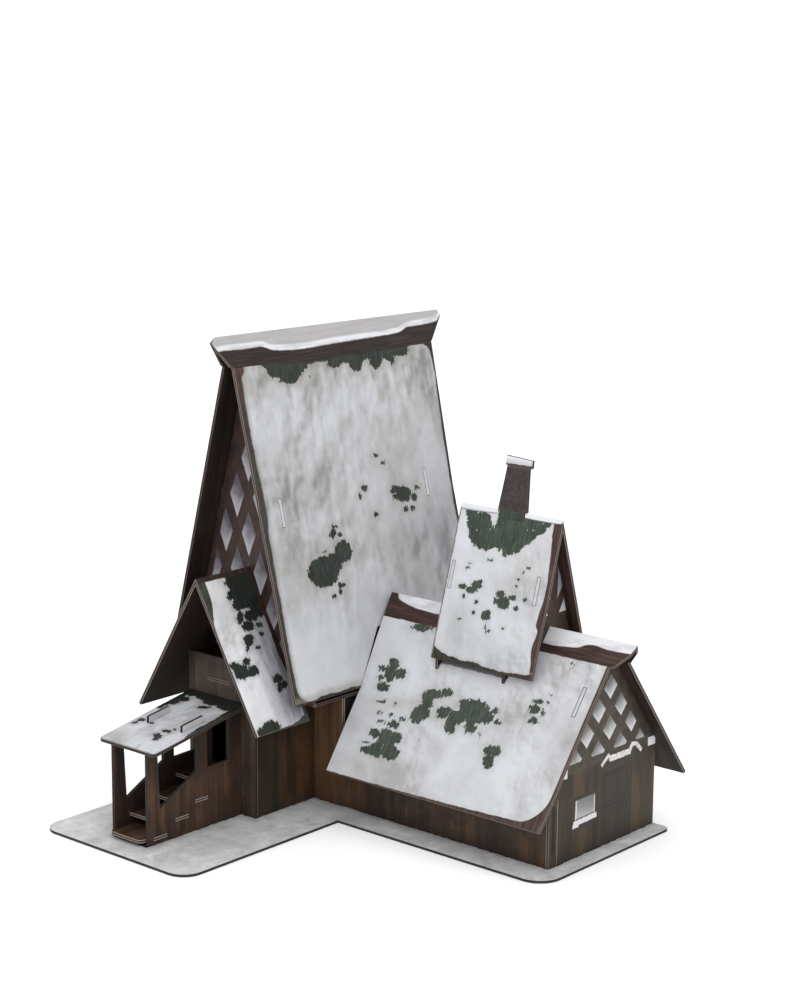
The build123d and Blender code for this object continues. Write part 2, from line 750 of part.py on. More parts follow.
with BuildPart() as wing_roof_right:
    with BuildSketch(wing_r.plane):
        with BuildLine():
            Polyline(*wing_r.pts(wing_outline), close=True)
        make_face()
        for pts in slots_along(wing_r, (WY,), *WING_TAB, 0.2):
            with BuildLine():
                Polyline(*pts, close=True)
            make_face(mode=Mode.SUBTRACT)
    extrude(amount=-T)
    split(bisect_by=mitre_x_r, keep=Keep.TOP)
    with BuildSketch(plane_z(60.0)):
        for pts in feet_boxes():
            with BuildLine():
                Polyline(*pts, close=True)
            make_face()
    extrude(amount=50.0, mode=Mode.SUBTRACT)
wing_roof_right.part.label = "wing_roof_right"
export_step(wing_roof_right.part, "parts/wing_roof_right.step")

# ---- dormer -------------------------------------------------------------
def wing_surface(dx, gap=0.2):
    """Height of the wing roof's outer face at distance dx from its ridge."""
    return ZR - dx / wing_l.k + gap


DTOP = 143.6


def dormer_gable_outline(corner_z=79.0, corner=None):
    """Half-open A that stands on the wing's slopes with two feet let into them.
    corner is how far its lower corners reach out, when less than the roof."""
    wt = dor_l.inner(DTOP)
    wb = dor_l.inner(corner_z)
    wc = corner or wb
    f0, f1 = DFX
    right = [
        (XW + wt, DTOP), (XW + wb, corner_z), (XW + wc, corner_z - 0.02), (XW + wc, wing_surface(wc)),
        (XW + f1, wing_surface(f1)), (XW + f1, wing_surface(f1) - 5.2),
        (XW + f0, wing_surface(f0) - 5.2), (XW + f0, wing_surface(f0)),
        (XW, wing_surface(0)),
    ]
    left = [(2 * XW - x, z) for x, z in reversed(right[:-1])]
    return right + left


with BuildPart() as dormer_gable_rear:
    with BuildSketch(plane_y(DGY[0])):
        with BuildLine():
            Polyline(*dormer_gable_outline(), close=True)
        make_face()
        for side in (dor_l, dor_r):
            with BuildLine():
                Polyline(*side.tab(*DORM_TAB), close=True)
            make_face()
    extrude(amount=T)
dormer_gable_rear.part.label = "dormer_gable_rear"
export_step(dormer_gable_rear.part, "parts/dormer_gable_rear.step")

with BuildPart() as dormer_gable_front:
    with BuildSketch(plane_y(DGY[1])):
        with BuildLine():
            Polyline(*dormer_gable_outline(85.0, 15.4), close=True)
        make_face()
        for side in (dor_l, dor_r):
            with BuildLine():
                Polyline(*side.tab(*DORM_TAB), close=True)
            make_face()
    extrude(amount=T)
dormer_gable_front.part.label = "dormer_gable_front"
export_step(dormer_gable_front.part, "parts/dormer_gable_front.step")

# low saddle board between the gables; its lower corners show under the eaves
DRY = -68.3
with BuildPart() as dormer_inner_rib:
    with BuildSketch(plane_y(DRY)):
        rt, rb = dor_l.inner(106.0), dor_l.inner(79.0) - 0.5
        with BuildLine():
            Polyline(
                (XW + rt, 106.0), (XW + rb, 79.0), (XW + rb, wing_surface(rb)),
                (XW, wing_surface(0)), (XW - rb, wing_surface(rb)), (XW - rb, 79.0),
                (XW - rt, 106.0), close=True,
            )
        make_face()
    extrude(amount=T)
dormer_inner_rib.part.label = "dormer_inner_rib"
export_step(dormer_inner_rib.part, "parts/dormer_inner_rib.step")

CHY = (-64.8, -50.8)    # chimney's slot in the ridge
dormer_outline = [(DY0, 0.0), (DY0, -dor_l.len), (DY1, -dor_l.len), (DY1, 0.0)]
with BuildPart() as dormer_roof_left:
    with BuildSketch(dor_l.plane):
        with BuildLine():
            Polyline(*dor_l.pts(dormer_outline), close=True)
        make_face()
        for pts in slots_along(dor_l, (DGY[0] - T, DGY[1] - T), *DORM_TAB, 0.2):
            with BuildLine():
                Polyline(*pts, close=True)
            make_face(mode=Mode.SUBTRACT)
    extrude(amount=-T)
    split(bisect_by=mitre_x_l, keep=Keep.TOP)
    with BuildSketch(plane_z(130.0)):
        with BuildLine():
            Polyline(*rect(XW - 1.15, XW + 1.15, CHY[0], CHY[1]), close=True)
        make_face()
    extrude(amount=30.0, mode=Mode.SUBTRACT)
dormer_roof_left.part.label = "dormer_roof_left"
export_step(dormer_roof_left.part, "parts/dormer_roof_left.step")

with BuildPart() as dormer_roof_right:
    with BuildSketch(dor_r.plane):
        with BuildLine():
            Polyline(*dor_r.pts(dormer_outline), close=True)
        make_face()
        for pts in slots_along(dor_r, (DGY[0] - T, DGY[1] - T), *DORM_TAB, 0.2):
            with BuildLine():
                Polyline(*pts, close=True)
            make_face(mode=Mode.SUBTRACT)
    extrude(amount=-T)
    split(bisect_by=mitre_x_r, keep=Keep.TOP)
    with BuildSketch(plane_z(130.0)):
        with BuildLine():
            Polyline(*rect(XW - 1.15, XW + 1.15, CHY[0], CHY[1]), close=True)
        make_face()
    extrude(amount=30.0, mode=Mode.SUBTRACT)
dormer_roof_right.part.label = "dormer_roof_right"
export_step(dormer_roof_right.part, "parts/dormer_roof_right.step")

with BuildPart() as chimney:
    with BuildSketch(Plane(origin=(XW - T / 2 - CX, -CY, -CZ), x_dir=(0, 1, 0), z_dir=(1, 0, 0))):
        with BuildLine():
            Polyline(
                (-49.3, ZD + 0.1), (CHY[1] - 0.3, ZD + 0.1), (CHY[1] - 0.3, 138.0),
                (CHY[0] + 0.3, 138.0), (CHY[0] + 0.3, ZD + 0.1), (-66.3, ZD + 0.1),
                (-67.2, 173.3), (-68.9, 173.8), (-69.2, 177.6), (-53.8, 178.6),
                (-53.5, 174.3), (-54.5, 173.9), close=True,
            )
        make_face()
    extrude(amount=T)
chimney.part.label = "chimney"
export_step(chimney.part, "parts/chimney.step")
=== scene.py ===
import json
import math

import bmesh
import bpy
from mathutils import Matrix, Vector


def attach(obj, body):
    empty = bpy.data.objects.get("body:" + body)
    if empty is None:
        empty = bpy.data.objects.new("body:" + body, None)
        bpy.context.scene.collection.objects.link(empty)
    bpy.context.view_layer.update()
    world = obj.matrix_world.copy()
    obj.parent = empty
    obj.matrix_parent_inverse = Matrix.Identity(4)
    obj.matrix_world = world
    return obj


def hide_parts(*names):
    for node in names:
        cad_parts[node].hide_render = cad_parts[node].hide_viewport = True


# Looks for a snow-covered card building.  Every board is rebuilt from its CAD
# node with eased edges and carries its own printed face, back and cut edge.
# "Site" coordinates are millimetres; the row frame subtracts SITE.
SITE = Vector((16.95, -16.0, 0.7))
T = 1.6

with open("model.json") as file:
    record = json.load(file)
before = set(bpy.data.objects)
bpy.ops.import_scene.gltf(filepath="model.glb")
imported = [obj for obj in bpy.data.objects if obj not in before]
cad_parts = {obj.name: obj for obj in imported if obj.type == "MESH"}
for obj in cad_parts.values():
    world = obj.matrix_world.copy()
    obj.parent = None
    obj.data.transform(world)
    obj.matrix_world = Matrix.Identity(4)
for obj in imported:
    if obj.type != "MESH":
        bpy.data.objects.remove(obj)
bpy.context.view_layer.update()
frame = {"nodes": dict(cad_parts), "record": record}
body_of = {n: b for b, ns in frame["record"]["behaviour"]["bodies"].items() for n in ns}

scene = bpy.context.scene
scene.view_settings.view_transform = "Standard"
scene.view_settings.look = "None"


# ---- shader building ------------------------------------------------------
def lin(c):
    """0-255 display colour to a linear RGBA."""
    out = []
    for x in c:
        x = x / 255.0
        out.append(x / 12.92 if x <= 0.04045 else ((x + 0.055) / 1.055) ** 2.4)
    return tuple(out) + (1.0,)


class F:
    """A float socket with arithmetic."""

    def __init__(self, g, s):
        self.g, self.s = g, s

    def __add__(self, o):
        return self.g.m("ADD", self, o)

    def __radd__(self, o):
        return self.g.m("ADD", self, o)

    def __sub__(self, o):
        return self.g.m("SUBTRACT", self, o)

    def __rsub__(self, o):
        return self.g.m("SUBTRACT", o, self)

    def __mul__(self, o):
        return self.g.m("MULTIPLY", self, o)

    def __rmul__(self, o):
        return self.g.m("MULTIPLY", self, o)

    def __truediv__(self, o):
        return self.g.m("DIVIDE", self, o)

    def __neg__(self):
        return self.g.m("MULTIPLY", self, -1.0)

    def abs(self):
        return self.g.m("ABSOLUTE", self)


class G:
    """One material's node tree."""

    def __init__(self, name):
        self.mat = bpy.data.materials.new(name)
        self.mat.use_nodes = True
        self.t = self.mat.node_tree
        self.t.nodes.clear()
        self.out = self.t.nodes.new("ShaderNodeOutputMaterial")
        self.b = self.t.nodes.new("ShaderNodeBsdfPrincipled")
        self.t.links.new(self.b.outputs[0], self.out.inputs[0])
        at = self.t.nodes.new("ShaderNodeAttribute")
        at.attribute_name = "puv"
        self.p = at.outputs["Vector"]
        sep = self.t.nodes.new("ShaderNodeSeparateXYZ")
        self.t.links.new(self.p, sep.inputs[0])
        self.u, self.v, self.w = (F(self, sep.outputs[i]) for i in range(3))

    def put(self, sock, val):
        if isinstance(val, F):
            val = val.s
        if isinstance(val, bpy.types.NodeSocket):
            self.t.links.new(val, sock)
        elif isinstance(val, tuple) and len(val) == 3 and sock.type == "RGBA":
            sock.default_value = lin(val)
        else:
            sock.default_value = val

    def m(self, op, a, b=None, c=None):
        n = self.t.nodes.new("ShaderNodeMath")
        n.operation = op
        for i, x in enumerate((a, b, c)):
            if x is not None:
                self.put(n.inputs[i], x)
        return F(self, n.outputs[0])

    def vm(self, op, a, b=None):
        n = self.t.nodes.new("ShaderNodeVectorMath")
        n.operation = op
        self.put(n.inputs[0], a)
        if b is not None:
            self.put(n.inputs[1], b)
        return n.outputs[0] if op not in ("LENGTH", "DOT_PRODUCT") else F(self, n.outputs[1])

    def vec(self, x=0.0, y=0.0, z=0.0):
        n = self.t.nodes.new("ShaderNodeCombineXYZ")
        for i, q in enumerate((x, y, z)):
            self.put(n.inputs[i], q)
        return n.outputs[0]

    def map(self, p, loc=(0, 0, 0), rot=0.0, scale=(1, 1, 1), kind="POINT"):
        n = self.t.nodes.new("ShaderNodeMapping")
        n.vector_type = kind
        self.put(n.inputs["Vector"], p)
        n.inputs["Location"].default_value = loc
        n.inputs["Rotation"].default_value = (0, 0, rot)
        n.inputs["Scale"].default_value = scale
        return n.outputs[0]

    def noise(self, p, scale=1.0, detail=2.0, rough=0.5, dist=0.0, stretch=None, off=0.0, color=False):
        if stretch or off:
            sx, sy = stretch or (1, 1)
            p = self.map(p, loc=(off, off * 0.7, off * 0.3), scale=(sx, sy, 0.0))
        n = self.t.nodes.new("ShaderNodeTexNoise")
        self.put(n.inputs["Vector"], p)
        n.inputs["Scale"].default_value = scale
        n.inputs["Detail"].default_value = detail
        n.inputs["Roughness"].default_value = rough
        n.inputs["Distortion"].default_value = dist
        return n.outputs["Color"] if color else F(self, n.outputs["Fac"])

    def step(self, x, lo, hi, a=0.0, b=1.0):
        """Smooth ramp from a at lo to b at hi."""
        n = self.t.nodes.new("ShaderNodeMapRange")
        n.interpolation_type = "SMOOTHSTEP"
        self.put(n.inputs["Value"], x)
        for k, q in (("From Min", lo), ("From Max", hi), ("To Min", a), ("To Max", b)):
            self.put(n.inputs[k], float(q))
        return F(self, n.outputs[0])

    def mix(self, f, a, b, mode="MIX"):
        n = self.t.nodes.new("ShaderNodeMix")
        n.data_type = "RGBA"
        n.blend_type = mode
        self.put(n.inputs[0], f)
        self.put(n.inputs[6], a)
        self.put(n.inputs[7], b)
        return n.outputs[2]

    def ramp(self, f, stops):
        n = self.t.nodes.new("ShaderNodeValToRGB")
        self.put(n.inputs[0], f)
        e = n.color_ramp.elements
        while len(e) < len(stops):
            e.new(0.5)
        for i, (x, c) in enumerate(stops):
            e[i].position = x
            e[i].color = lin(c)
        return n.outputs[0]

    def wobble(self, p, scale, amp, off=0.0, detail=2.0):
        """p moved about by noise, in mm."""
        c = self.noise(p, scale, detail, color=True, off=off, stretch=(1, 1))
        d = self.vm("SUBTRACT", c, (0.5, 0.5, 0.5))
        n = self.t.nodes.new("ShaderNodeVectorMath")
        n.operation = "MULTIPLY_ADD"
        self.put(n.inputs[0], d)
        n.inputs[1].default_value = (amp, amp, 0)
        self.put(n.inputs[2], p)
        return n.outputs[0]

    def blobs(self, p, items):
        """Distance in mm to the nearest of some ellipses (u, v, a, b, degrees)."""
        d = None
        for u, v, a, b, deg in items:
            q = self.map(p, loc=(u, v, 0), rot=math.radians(deg), scale=(a, b, 1e6), kind="TEXTURE")
            r = min(a, b)
            e = self.m("MULTIPLY_ADD", self.vm("LENGTH", q), r, -r)
            d = e if d is None else self.m("SMOOTH_MIN", d, e, 0.5)
        return d

    def poly(self, p, pts):
        """Distance to a convex polygon."""
        cx = sum(a for a, _ in pts) / len(pts)
        cy = sum(b for _, b in pts) / len(pts)
        d = None
        for (ax, ay), (bx, by) in zip(pts, pts[1:] + pts[:1]):
            nx, ny = by - ay, ax - bx
            k = math.hypot(nx, ny)
            nx, ny = nx / k, ny / k
            if (cx - ax) * nx + (cy - ay) * ny > 0:
                nx, ny = -nx, -ny
            e = self.vm("DOT_PRODUCT", p, (nx, ny, 0.0)) - (ax * nx + ay * ny)
            d = e if d is None else self.m("MAXIMUM", d, e)
        return d

    def seg(self, p, a, b, hw):
        """Distance to a bar from a to b of half width hw."""
        cx, cy = (a[0] + b[0]) / 2, (a[1] + b[1]) / 2
        ln = math.hypot(b[0] - a[0], b[1] - a[1]) / 2
        q = self.map(p, loc=(cx, cy, 0), rot=math.atan2(b[1] - a[1], b[0] - a[0]), scale=(1, 1, 1e6), kind="TEXTURE")
        n = self.t.nodes.new("ShaderNodeSeparateXYZ")
        self.put(n.inputs[0], q)
        x, y = F(self, n.outputs[0]), F(self, n.outputs[1])
        return self.m("MAXIMUM", x.abs() - ln, y.abs() - hw)

    def curve(self, x, pts):
        """Piecewise-linear function of x through (x, y) points."""
        lo, hi = pts[0][0], pts[-1][0]
        ys = [y for _, y in pts]
        y0, y1 = min(ys), max(ys)
        n = self.t.nodes.new("ShaderNodeFloatCurve")
        c = n.mapping.curves[0]
        norm = [((a - lo) / (hi - lo), (b - y0) / max(y1 - y0, 1e-6)) for a, b in pts]
        c.points[0].location = norm[0]
        c.points[1].location = norm[-1]
        for a, b in norm[1:-1]:
            c.points.new(a, b)
        n.mapping.update()
        self.put(n.inputs["Value"], (x - lo) / (hi - lo))
        return F(self, n.outputs[0]) * (y1 - y0) + y0

    def mx(self, a, b):
        return self.m("MAXIMUM", a, b)

    def mn(self, a, b):
        return self.m("MINIMUM", a, b)

    def done(self, color, rough=0.62, grain=0.012):
        self.put(self.b.inputs["Base Color"], color)
        r = self.noise(self.p, 0.35, 2.0)
        self.put(self.b.inputs["Roughness"], r * 0.16 + (rough - 0.08))
        self.b.inputs["Specular IOR Level"].default_value = 0.32
        if grain:
            fine = self.noise(self.p, 2.6, 3.0, 0.65)
            bump = self.t.nodes.new("ShaderNodeBump")
            bump.inputs["Strength"].default_value = 0.35
            bump.inputs["Distance"].default_value = grain / 1000.0
            self.put(bump.inputs["Height"], fine)
            self.put(self.b.inputs["Normal"], bump.outputs[0])
        return self.mat


# ---- printed surfaces -----------------------------------------------------
def relief(g, scale, shift, off=0.0, detail=3.0, rough=0.6, dist=0.4):
    """Painted relief: a noise field lit from the upper left."""
    a = g.noise(g.p, 1.0, detail, rough, stretch=scale, off=off, dist=dist)
    q = g.vm("ADD", g.p, (shift[0], shift[1], 0.0))
    b = g.noise(q, 1.0, detail, rough, stretch=scale, off=off, dist=dist)
    return a - b


def snow_streaked(g, seed=0.0, k=1.0):
    """Steep snow: cloudy grey patches that run down the slope, with painted folds."""
    a = g.noise(g.p, 1.0, 4.0, 0.6, stretch=(0.048, 0.028), off=seed + 3.1, dist=0.15)
    b = g.noise(g.p, 1.0, 2.0, 0.5, stretch=(0.016, 0.012), off=seed + 9.7)
    c = g.noise(g.p, 1.0, 3.0, 0.6, stretch=(0.26, 0.12), off=seed + 1.3, dist=0.5)
    f = a * 0.54 + b * 0.36 + c * 0.10
    fold = relief(g, (0.085, 0.050), (1.7, 2.4), seed + 17.0, 2.6, 0.5, 0.1)
    where = g.step(g.noise(g.p, 1.0, 2.0, 0.5, stretch=(0.02, 0.018), off=seed + 23.0), 0.44, 0.62)
    top = g.step(g.v, 78.0, 22.0)
    f = f + fold * (g.mx(where, top) * 0.62 + 0.20)
    return g.ramp(f, [(0.34, tuple(int(x * k) for x in (150, 149, 148))), (0.44, tuple(int(x * k) for x in (182, 181, 181))), (0.52, tuple(int(x * k) for x in (201, 201, 203))), (0.64, tuple(int(x * k) for x in (219, 221, 227)))])


def snow_bright(g, seed=0.0, k=0):
    """Flatter snow: smooth, with small soft folds."""
    a = g.noise(g.p, 1.0, 3.0, 0.5, stretch=(0.03, 0.035), off=seed + 5.0, dist=0.4)
    fold = relief(g, (0.15, 0.12), (1.0, 1.4), seed + 11.0, 2.6, 0.5, 0.1)
    where = g.step(g.noise(g.p, 1.0, 2.0, 0.5, stretch=(0.028, 0.028), off=seed + 29.0), 0.42, 0.62)
    f = a + fold * (where * 0.62 + 0.20)
    return g.ramp(f, [(0.30, (190 - k, 190 - k, 191 - k)), (0.42, (212 - k, 212 - k, 214 - k)), (0.52, (222 - k, 223 - k, 226 - k)), (0.66, (231 - k, 233 - k, 238 - k))])


def thatch(g, along=(2.6, 0.14), dark=(18, 23, 20), mid=(36, 43, 38), light=(62, 70, 62)):
    a = g.noise(g.p, 1.0, 3.0, 0.6, stretch=along, off=4.0)
    b = g.noise(g.p, 1.0, 2.0, 0.5, stretch=(0.12, 0.12), off=8.0)
    return g.ramp(a * 0.8 + b * 0.2, [(0.36, dark), (0.5, mid), (0.68, light)])


def wood(g, stretch=(0.045, 1.5), seed=0.0, dark=(34, 22, 19), mid=(68, 46, 40), light=(98, 70, 58)):
    a = g.noise(g.p, 1.0, 4.0, 0.6, stretch=stretch, off=seed + 2.0, dist=0.5)
    b = g.noise(g.p, 1.0, 2.0, 0.5, stretch=(0.05, 0.2), off=seed + 6.0)
    return g.ramp(a * 0.75 + b * 0.25, [(0.34, dark), (0.5, mid), (0.66, light)])


def frayed(g, d, amp=0.9):
    """Mask from a distance, with strands along the slope."""
    s = g.noise(g.p, 1.0, 2.0, 0.6, stretch=(1.3, 0.20), off=12.0) - 0.5
    t = g.noise(g.p, 1.0, 1.0, 0.5, stretch=(3.2, 0.5), off=19.0) - 0.5
    return g.step(d + s * (amp * 3.4) + t * (amp * 1.5), 0.14, -0.14)


def wavy(g, x, scale, amp, seed=0.0):
    """x plus a wavy offset that varies along u."""
    n = g.noise(g.p, 1.0, 3.0, 0.55, stretch=(scale, 0.0), off=seed)
    return x + (n - 0.5) * (amp * 2.0)


def wavy_v(g, x, scale, amp, seed=0.0):
    n = g.noise(g.p, 1.0, 3.0, 0.55, stretch=(0.0, scale), off=seed)
    return x + (n - 0.5) * (amp * 2.0)


HF_TH = [
    (8.4, 19.8, 6.1, 3.1, 3), (16.1, 21.6, 6.6, 4.4, 0), (25.1, 18.8, 5.2, 3.1, 1), (48.7, 19.6, 4.6, 2.7, 1),
    (63.4, 20.6, 5.0, 3.8, 118), (70.4, 18.5, 3.2, 2.1, 0), (79.3, 21.6, 4.8, 4.1, 147), (87.8, 20.2, 5.7, 2.0, 4),
    (99.1, 18.6, 5.8, 2.8, 3), (91.3, 22.8, 2.1, 1.6, 120), (15.5, 118.2, 10.7, 7.5, 5), (31.3, 110.8, 6.4, 5.4, 175),
    (23.0, 115.8, 6.1, 5.2, 174), (26.1, 101.3, 2.5, 2.2, 155), (28.5, 98.3, 2.1, 0.8, 8), (31.2, 102.4, 1.6, 1.4, 151),
    (25.9, 126.4, 2.4, 1.5, 7), (24.0, 129.6, 1.5, 1.2, 114), (19.8, 130.9, 1.4, 1.2, 167), (18.0, 108.7, 1.3, 0.5, 8),
    (81.2, 89.7, 6.2, 4.1, 2), (75.5, 86.6, 2.9, 2.0, 2), (75.2, 90.5, 2.2, 1.9, 123), (88.8, 92.5, 2.0, 1.7, 166),
    (92.2, 88.0, 1.5, 1.0, 2), (81.3, 97.4, 2.0, 1.5, 178), (86.2, 97.6, 2.0, 1.3, 3), (66.6, 68.2, 1.9, 1.0, 5),
    (70.3, 72.7, 1.6, 0.9, 5), (53.9, 83.2, 2.1, 1.8, 165), (49.9, 86.7, 1.4, 1.2, 162), (59.0, 96.8, 1.7, 1.1, 5),
    (30.6, 25.0, 0.9, 0.7, 125), (10.8, 24.7, 2.1, 1.4, 177),
]
WL_TH = [
    (-3.7, 35.9, 3.7, 2.8, 148), (-9.8, 39.8, 3.9, 2.7, 174), (-4.0, 41.0, 4.6, 3.1, 134), (-3.5, 48.4, 4.0, 2.5, 179),
    (0.2, 44.0, 2.1, 1.4, 178), (2.0, 39.5, 2.0, 1.4, 175), (-10.5, 71.4, 3.5, 2.4, 175), (-18.9, 72.4, 5.9, 4.4, 167),
    (-23.7, 70.8, 3.9, 2.8, 174), (-15.7, 78.7, 4.8, 3.6, 154), (-24.1, 78.3, 5.5, 3.7, 178), (-9.8, 80.1, 3.2, 1.9, 3),
    (-7.3, 76.7, 2.5, 0.9, 11), (-15.9, 69.1, 2.3, 1.5, 179), (-15.5, 60.6, 1.6, 0.9, 5), (-22.4, 61.1, 2.2, 0.8, 10),
    (-11.3, 65.1, 2.2, 1.1, 8), (-19.2, 65.0, 3.4, 2.1, 2), (-7.9, 61.1, 1.1, 0.5, 9), (-6.7, 55.4, 2.5, 0.9, 10),
    (-31.5, 48.9, 5.1, 3.3, 130), (-31.4, 55.5, 4.9, 3.7, 166), (-30.0, 58.4, 4.0, 3.1, 162), (-34.3, 45.3, 4.7, 2.7, 4),
    (-41.0, 43.3, 3.2, 2.3, 173), (-43.5, 52.8, 4.0, 2.5, 2), (-42.4, 55.1, 2.2, 1.5, 178), (-50.4, 58.2, 4.4, 3.1, 136),
    (-52.2, 53.9, 5.5, 3.6, 0), (-58.0, 47.1, 6.7, 4.0, 4), (-61.0, 50.9, 6.5, 4.2, 1), (-67.9, 49.8, 4.3, 3.3, 160),
    (-62.8, 46.5, 4.3, 3.0, 178), (-61.8, 56.8, 3.5, 2.6, 173), (-52.7, 45.8, 2.6, 1.5, 4), (-71.3, 46.1, 2.4, 1.6, 179),
    (-74.9, 51.0, 2.3, 1.1, 8), (-78.4, 65.0, 4.4, 2.6, 5), (-79.0, 69.7, 4.2, 2.9, 131), (-81.9, 64.2, 2.6, 1.6, 125),
    (-91.7, 36.7, 2.7, 1.4, 7), (-91.3, 40.7, 3.0, 2.2, 173), (-96.6, 41.2, 2.0, 0.9, 119), (-93.5, 46.0, 2.7, 1.7, 4),
    (-95.5, 32.5, 0.7, 0.5, 158), (-97.7, 32.0, 0.5, 0.4, 135), (-97.1, 36.2, 0.9, 0.7, 133), (-10.3, 14.4, 6.3, 2.0, 9),
    (-100.8, 15.2, 0.7, 0.6, 139), (-101.4, 18.0, 0.5, 0.4, 156), (-68.5, 59.2, 0.8, 0.6, 134), (-14.7, 55.2, 0.9, 0.5, 126),
]
DL_TH = [
    (-36.2, 4.3, 7.5, 2.7, 7), (-41.0, 9.7, 9.1, 4.7, 6), (-40.5, 14.5, 4.3, 3.9, 155), (-45.3, 16.5, 5.8, 3.0, 7),
    (-56.0, 5.9, 7.0, 4.0, 7), (-56.1, 12.3, 8.0, 5.3, 6), (-55.6, 17.6, 4.9, 3.9, 179), (-62.5, 15.2, 5.6, 2.6, 7),
    (-66.0, 9.3, 8.8, 3.9, 7), (-71.6, 5.2, 7.2, 3.3, 7), (-75.6, 5.2, 4.0, 3.2, 178), (-61.7, 18.6, 3.2, 2.3, 4),
    (-66.0, 3.0, 14.0, 3.0, 0), (-32.6, 10.3, 1.7, 1.3, 178), (-33.4, 13.5, 1.2, 0.9, 179), (-37.2, 15.0, 2.1, 1.8, 124),
    (-37.0, 39.2, 2.5, 1.3, 7), (-42.7, 39.8, 3.3, 1.7, 8), (-45.4, 37.0, 3.3, 1.9, 7), (-47.5, 35.3, 1.3, 1.1, 1),
    (-39.1, 43.4, 1.1, 0.9, 2), (-47.0, 45.0, 1.2, 0.9, 2), (-60.2, 39.2, 2.8, 1.7, 7), (-62.4, 42.8, 3.9, 3.1, 2),
    (-67.0, 39.7, 2.4, 1.2, 8), (-57.9, 43.1, 1.8, 1.0, 106), (-74.5, 39.5, 1.3, 1.0, 4), (-68.4, 30.6, 0.9, 0.7, 0),
    (-70.5, 44.1, 1.3, 1.0, 2), (-53.9, 50.6, 2.8, 2.2, 2), (-55.1, 48.7, 1.5, 0.9, 7), (-55.2, 55.7, 1.8, 0.7, 105),
    (-57.2, 57.0, 1.1, 0.7, 8), (-65.1, 54.4, 0.8, 0.7, 176), (-46.7, 50.2, 0.7, 0.6, 2), (-50.2, 24.4, 1.5, 0.7, 7),
    (-38.8, 27.8, 1.0, 0.6, 6), (-38.5, 30.0, 0.8, 0.5, 6), (-72.7, 24.8, 1.0, 0.4, 8), (-70.5, 27.5, 0.8, 0.4, 106),
    (-68.1, 34.2, 0.7, 0.6, 139), (-38.7, 54.6, 1.3, 0.6, 9), (-28.5, 6.9, 1.0, 0.7, 110),
]
ER_TH = [
    (-20.3, 6.0, 4.9, 2.8, 1), (-12.4, 5.5, 9.7, 4.8, 5), (-9.8, 13.0, 9.6, 6.6, 135), (-10.0, 20.9, 5.6, 4.2, 149),
    (-16.5, 23.6, 4.9, 2.8, 2), (-21.9, 16.6, 3.9, 2.9, 148), (-24.4, 11.6, 3.1, 1.8, 126), (-23.7, 23.1, 3.3, 2.2, 131),
    (-20.8, 28.1, 3.7, 2.6, 174), (-23.9, 34.8, 3.8, 2.9, 149), (-26.7, 38.1, 2.0, 0.9, 121), (-30.4, 44.2, 2.5, 1.9, 163),
    (-35.7, 48.3, 5.4, 3.6, 178), (-28.7, 49.4, 3.6, 2.8, 159), (-38.9, 44.7, 3.5, 1.9, 6), (-13.6, 29.1, 2.0, 1.2, 0),
    (-14.5, 33.3, 1.7, 1.1, 179), (-20.4, 39.0, 1.4, 0.8, 3), (-15.5, 56.2, 3.0, 2.3, 149), (-16.2, 60.0, 3.0, 1.4, 122),
    (-12.9, 59.7, 2.4, 1.9, 154), (-31.2, 77.3, 5.9, 3.5, 5), (-37.4, 78.2, 3.5, 2.3, 3),
]
PR_TH = [
    (20.5, 69.2, 1.7, 1.2, 93), (24.6, 68.6, 2.4, 1.7, 86), (24.2, 61.7, 1.8, 1.2, 101), (15.4, 48.1, 3.6, 2.0, 63),
    (12.7, 46.6, 1.8, 1.2, 63), (21.4, 48.0, 2.6, 1.5, 99), (24.7, 46.3, 1.2, 0.8, 70), (46.4, 71.8, 5.0, 3.0, 107),
    (51.6, 69.2, 4.2, 2.9, 96), (56.0, 53.9, 5.6, 3.6, 77), (56.4, 43.9, 7.3, 4.6, 67), (49.4, 52.4, 3.9, 1.5, 114),
    (63.3, 64.0, 5.3, 4.7, 94), (62.0, 52.2, 8.1, 5.5, 101), (60.1, 70.0, 5.9, 2.7, 113), (58.6, 39.0, 7.2, 4.1, 66),
    (63.0, 45.0, 9.0, 5.0, 90), (63.0, 58.0, 10.0, 4.5, 90),
]


def mirrored(items, c):
    return [(c - u, v, a, b, -d) for u, v, a, b, d in items]


def slot_lines(g, p, col, slots, k=0.85):
    """A fine dark joint round each tab end that closes the panel's slots."""
    for u0, v0, u1, v1 in slots:
        d = g.seg(p, (u0, v0), (u1, v1), 0.95)
        ring = g.step(d.abs(), 0.30, 0.12)
        col = g.mix(ring * k, col, (52, 47, 46))
    return col


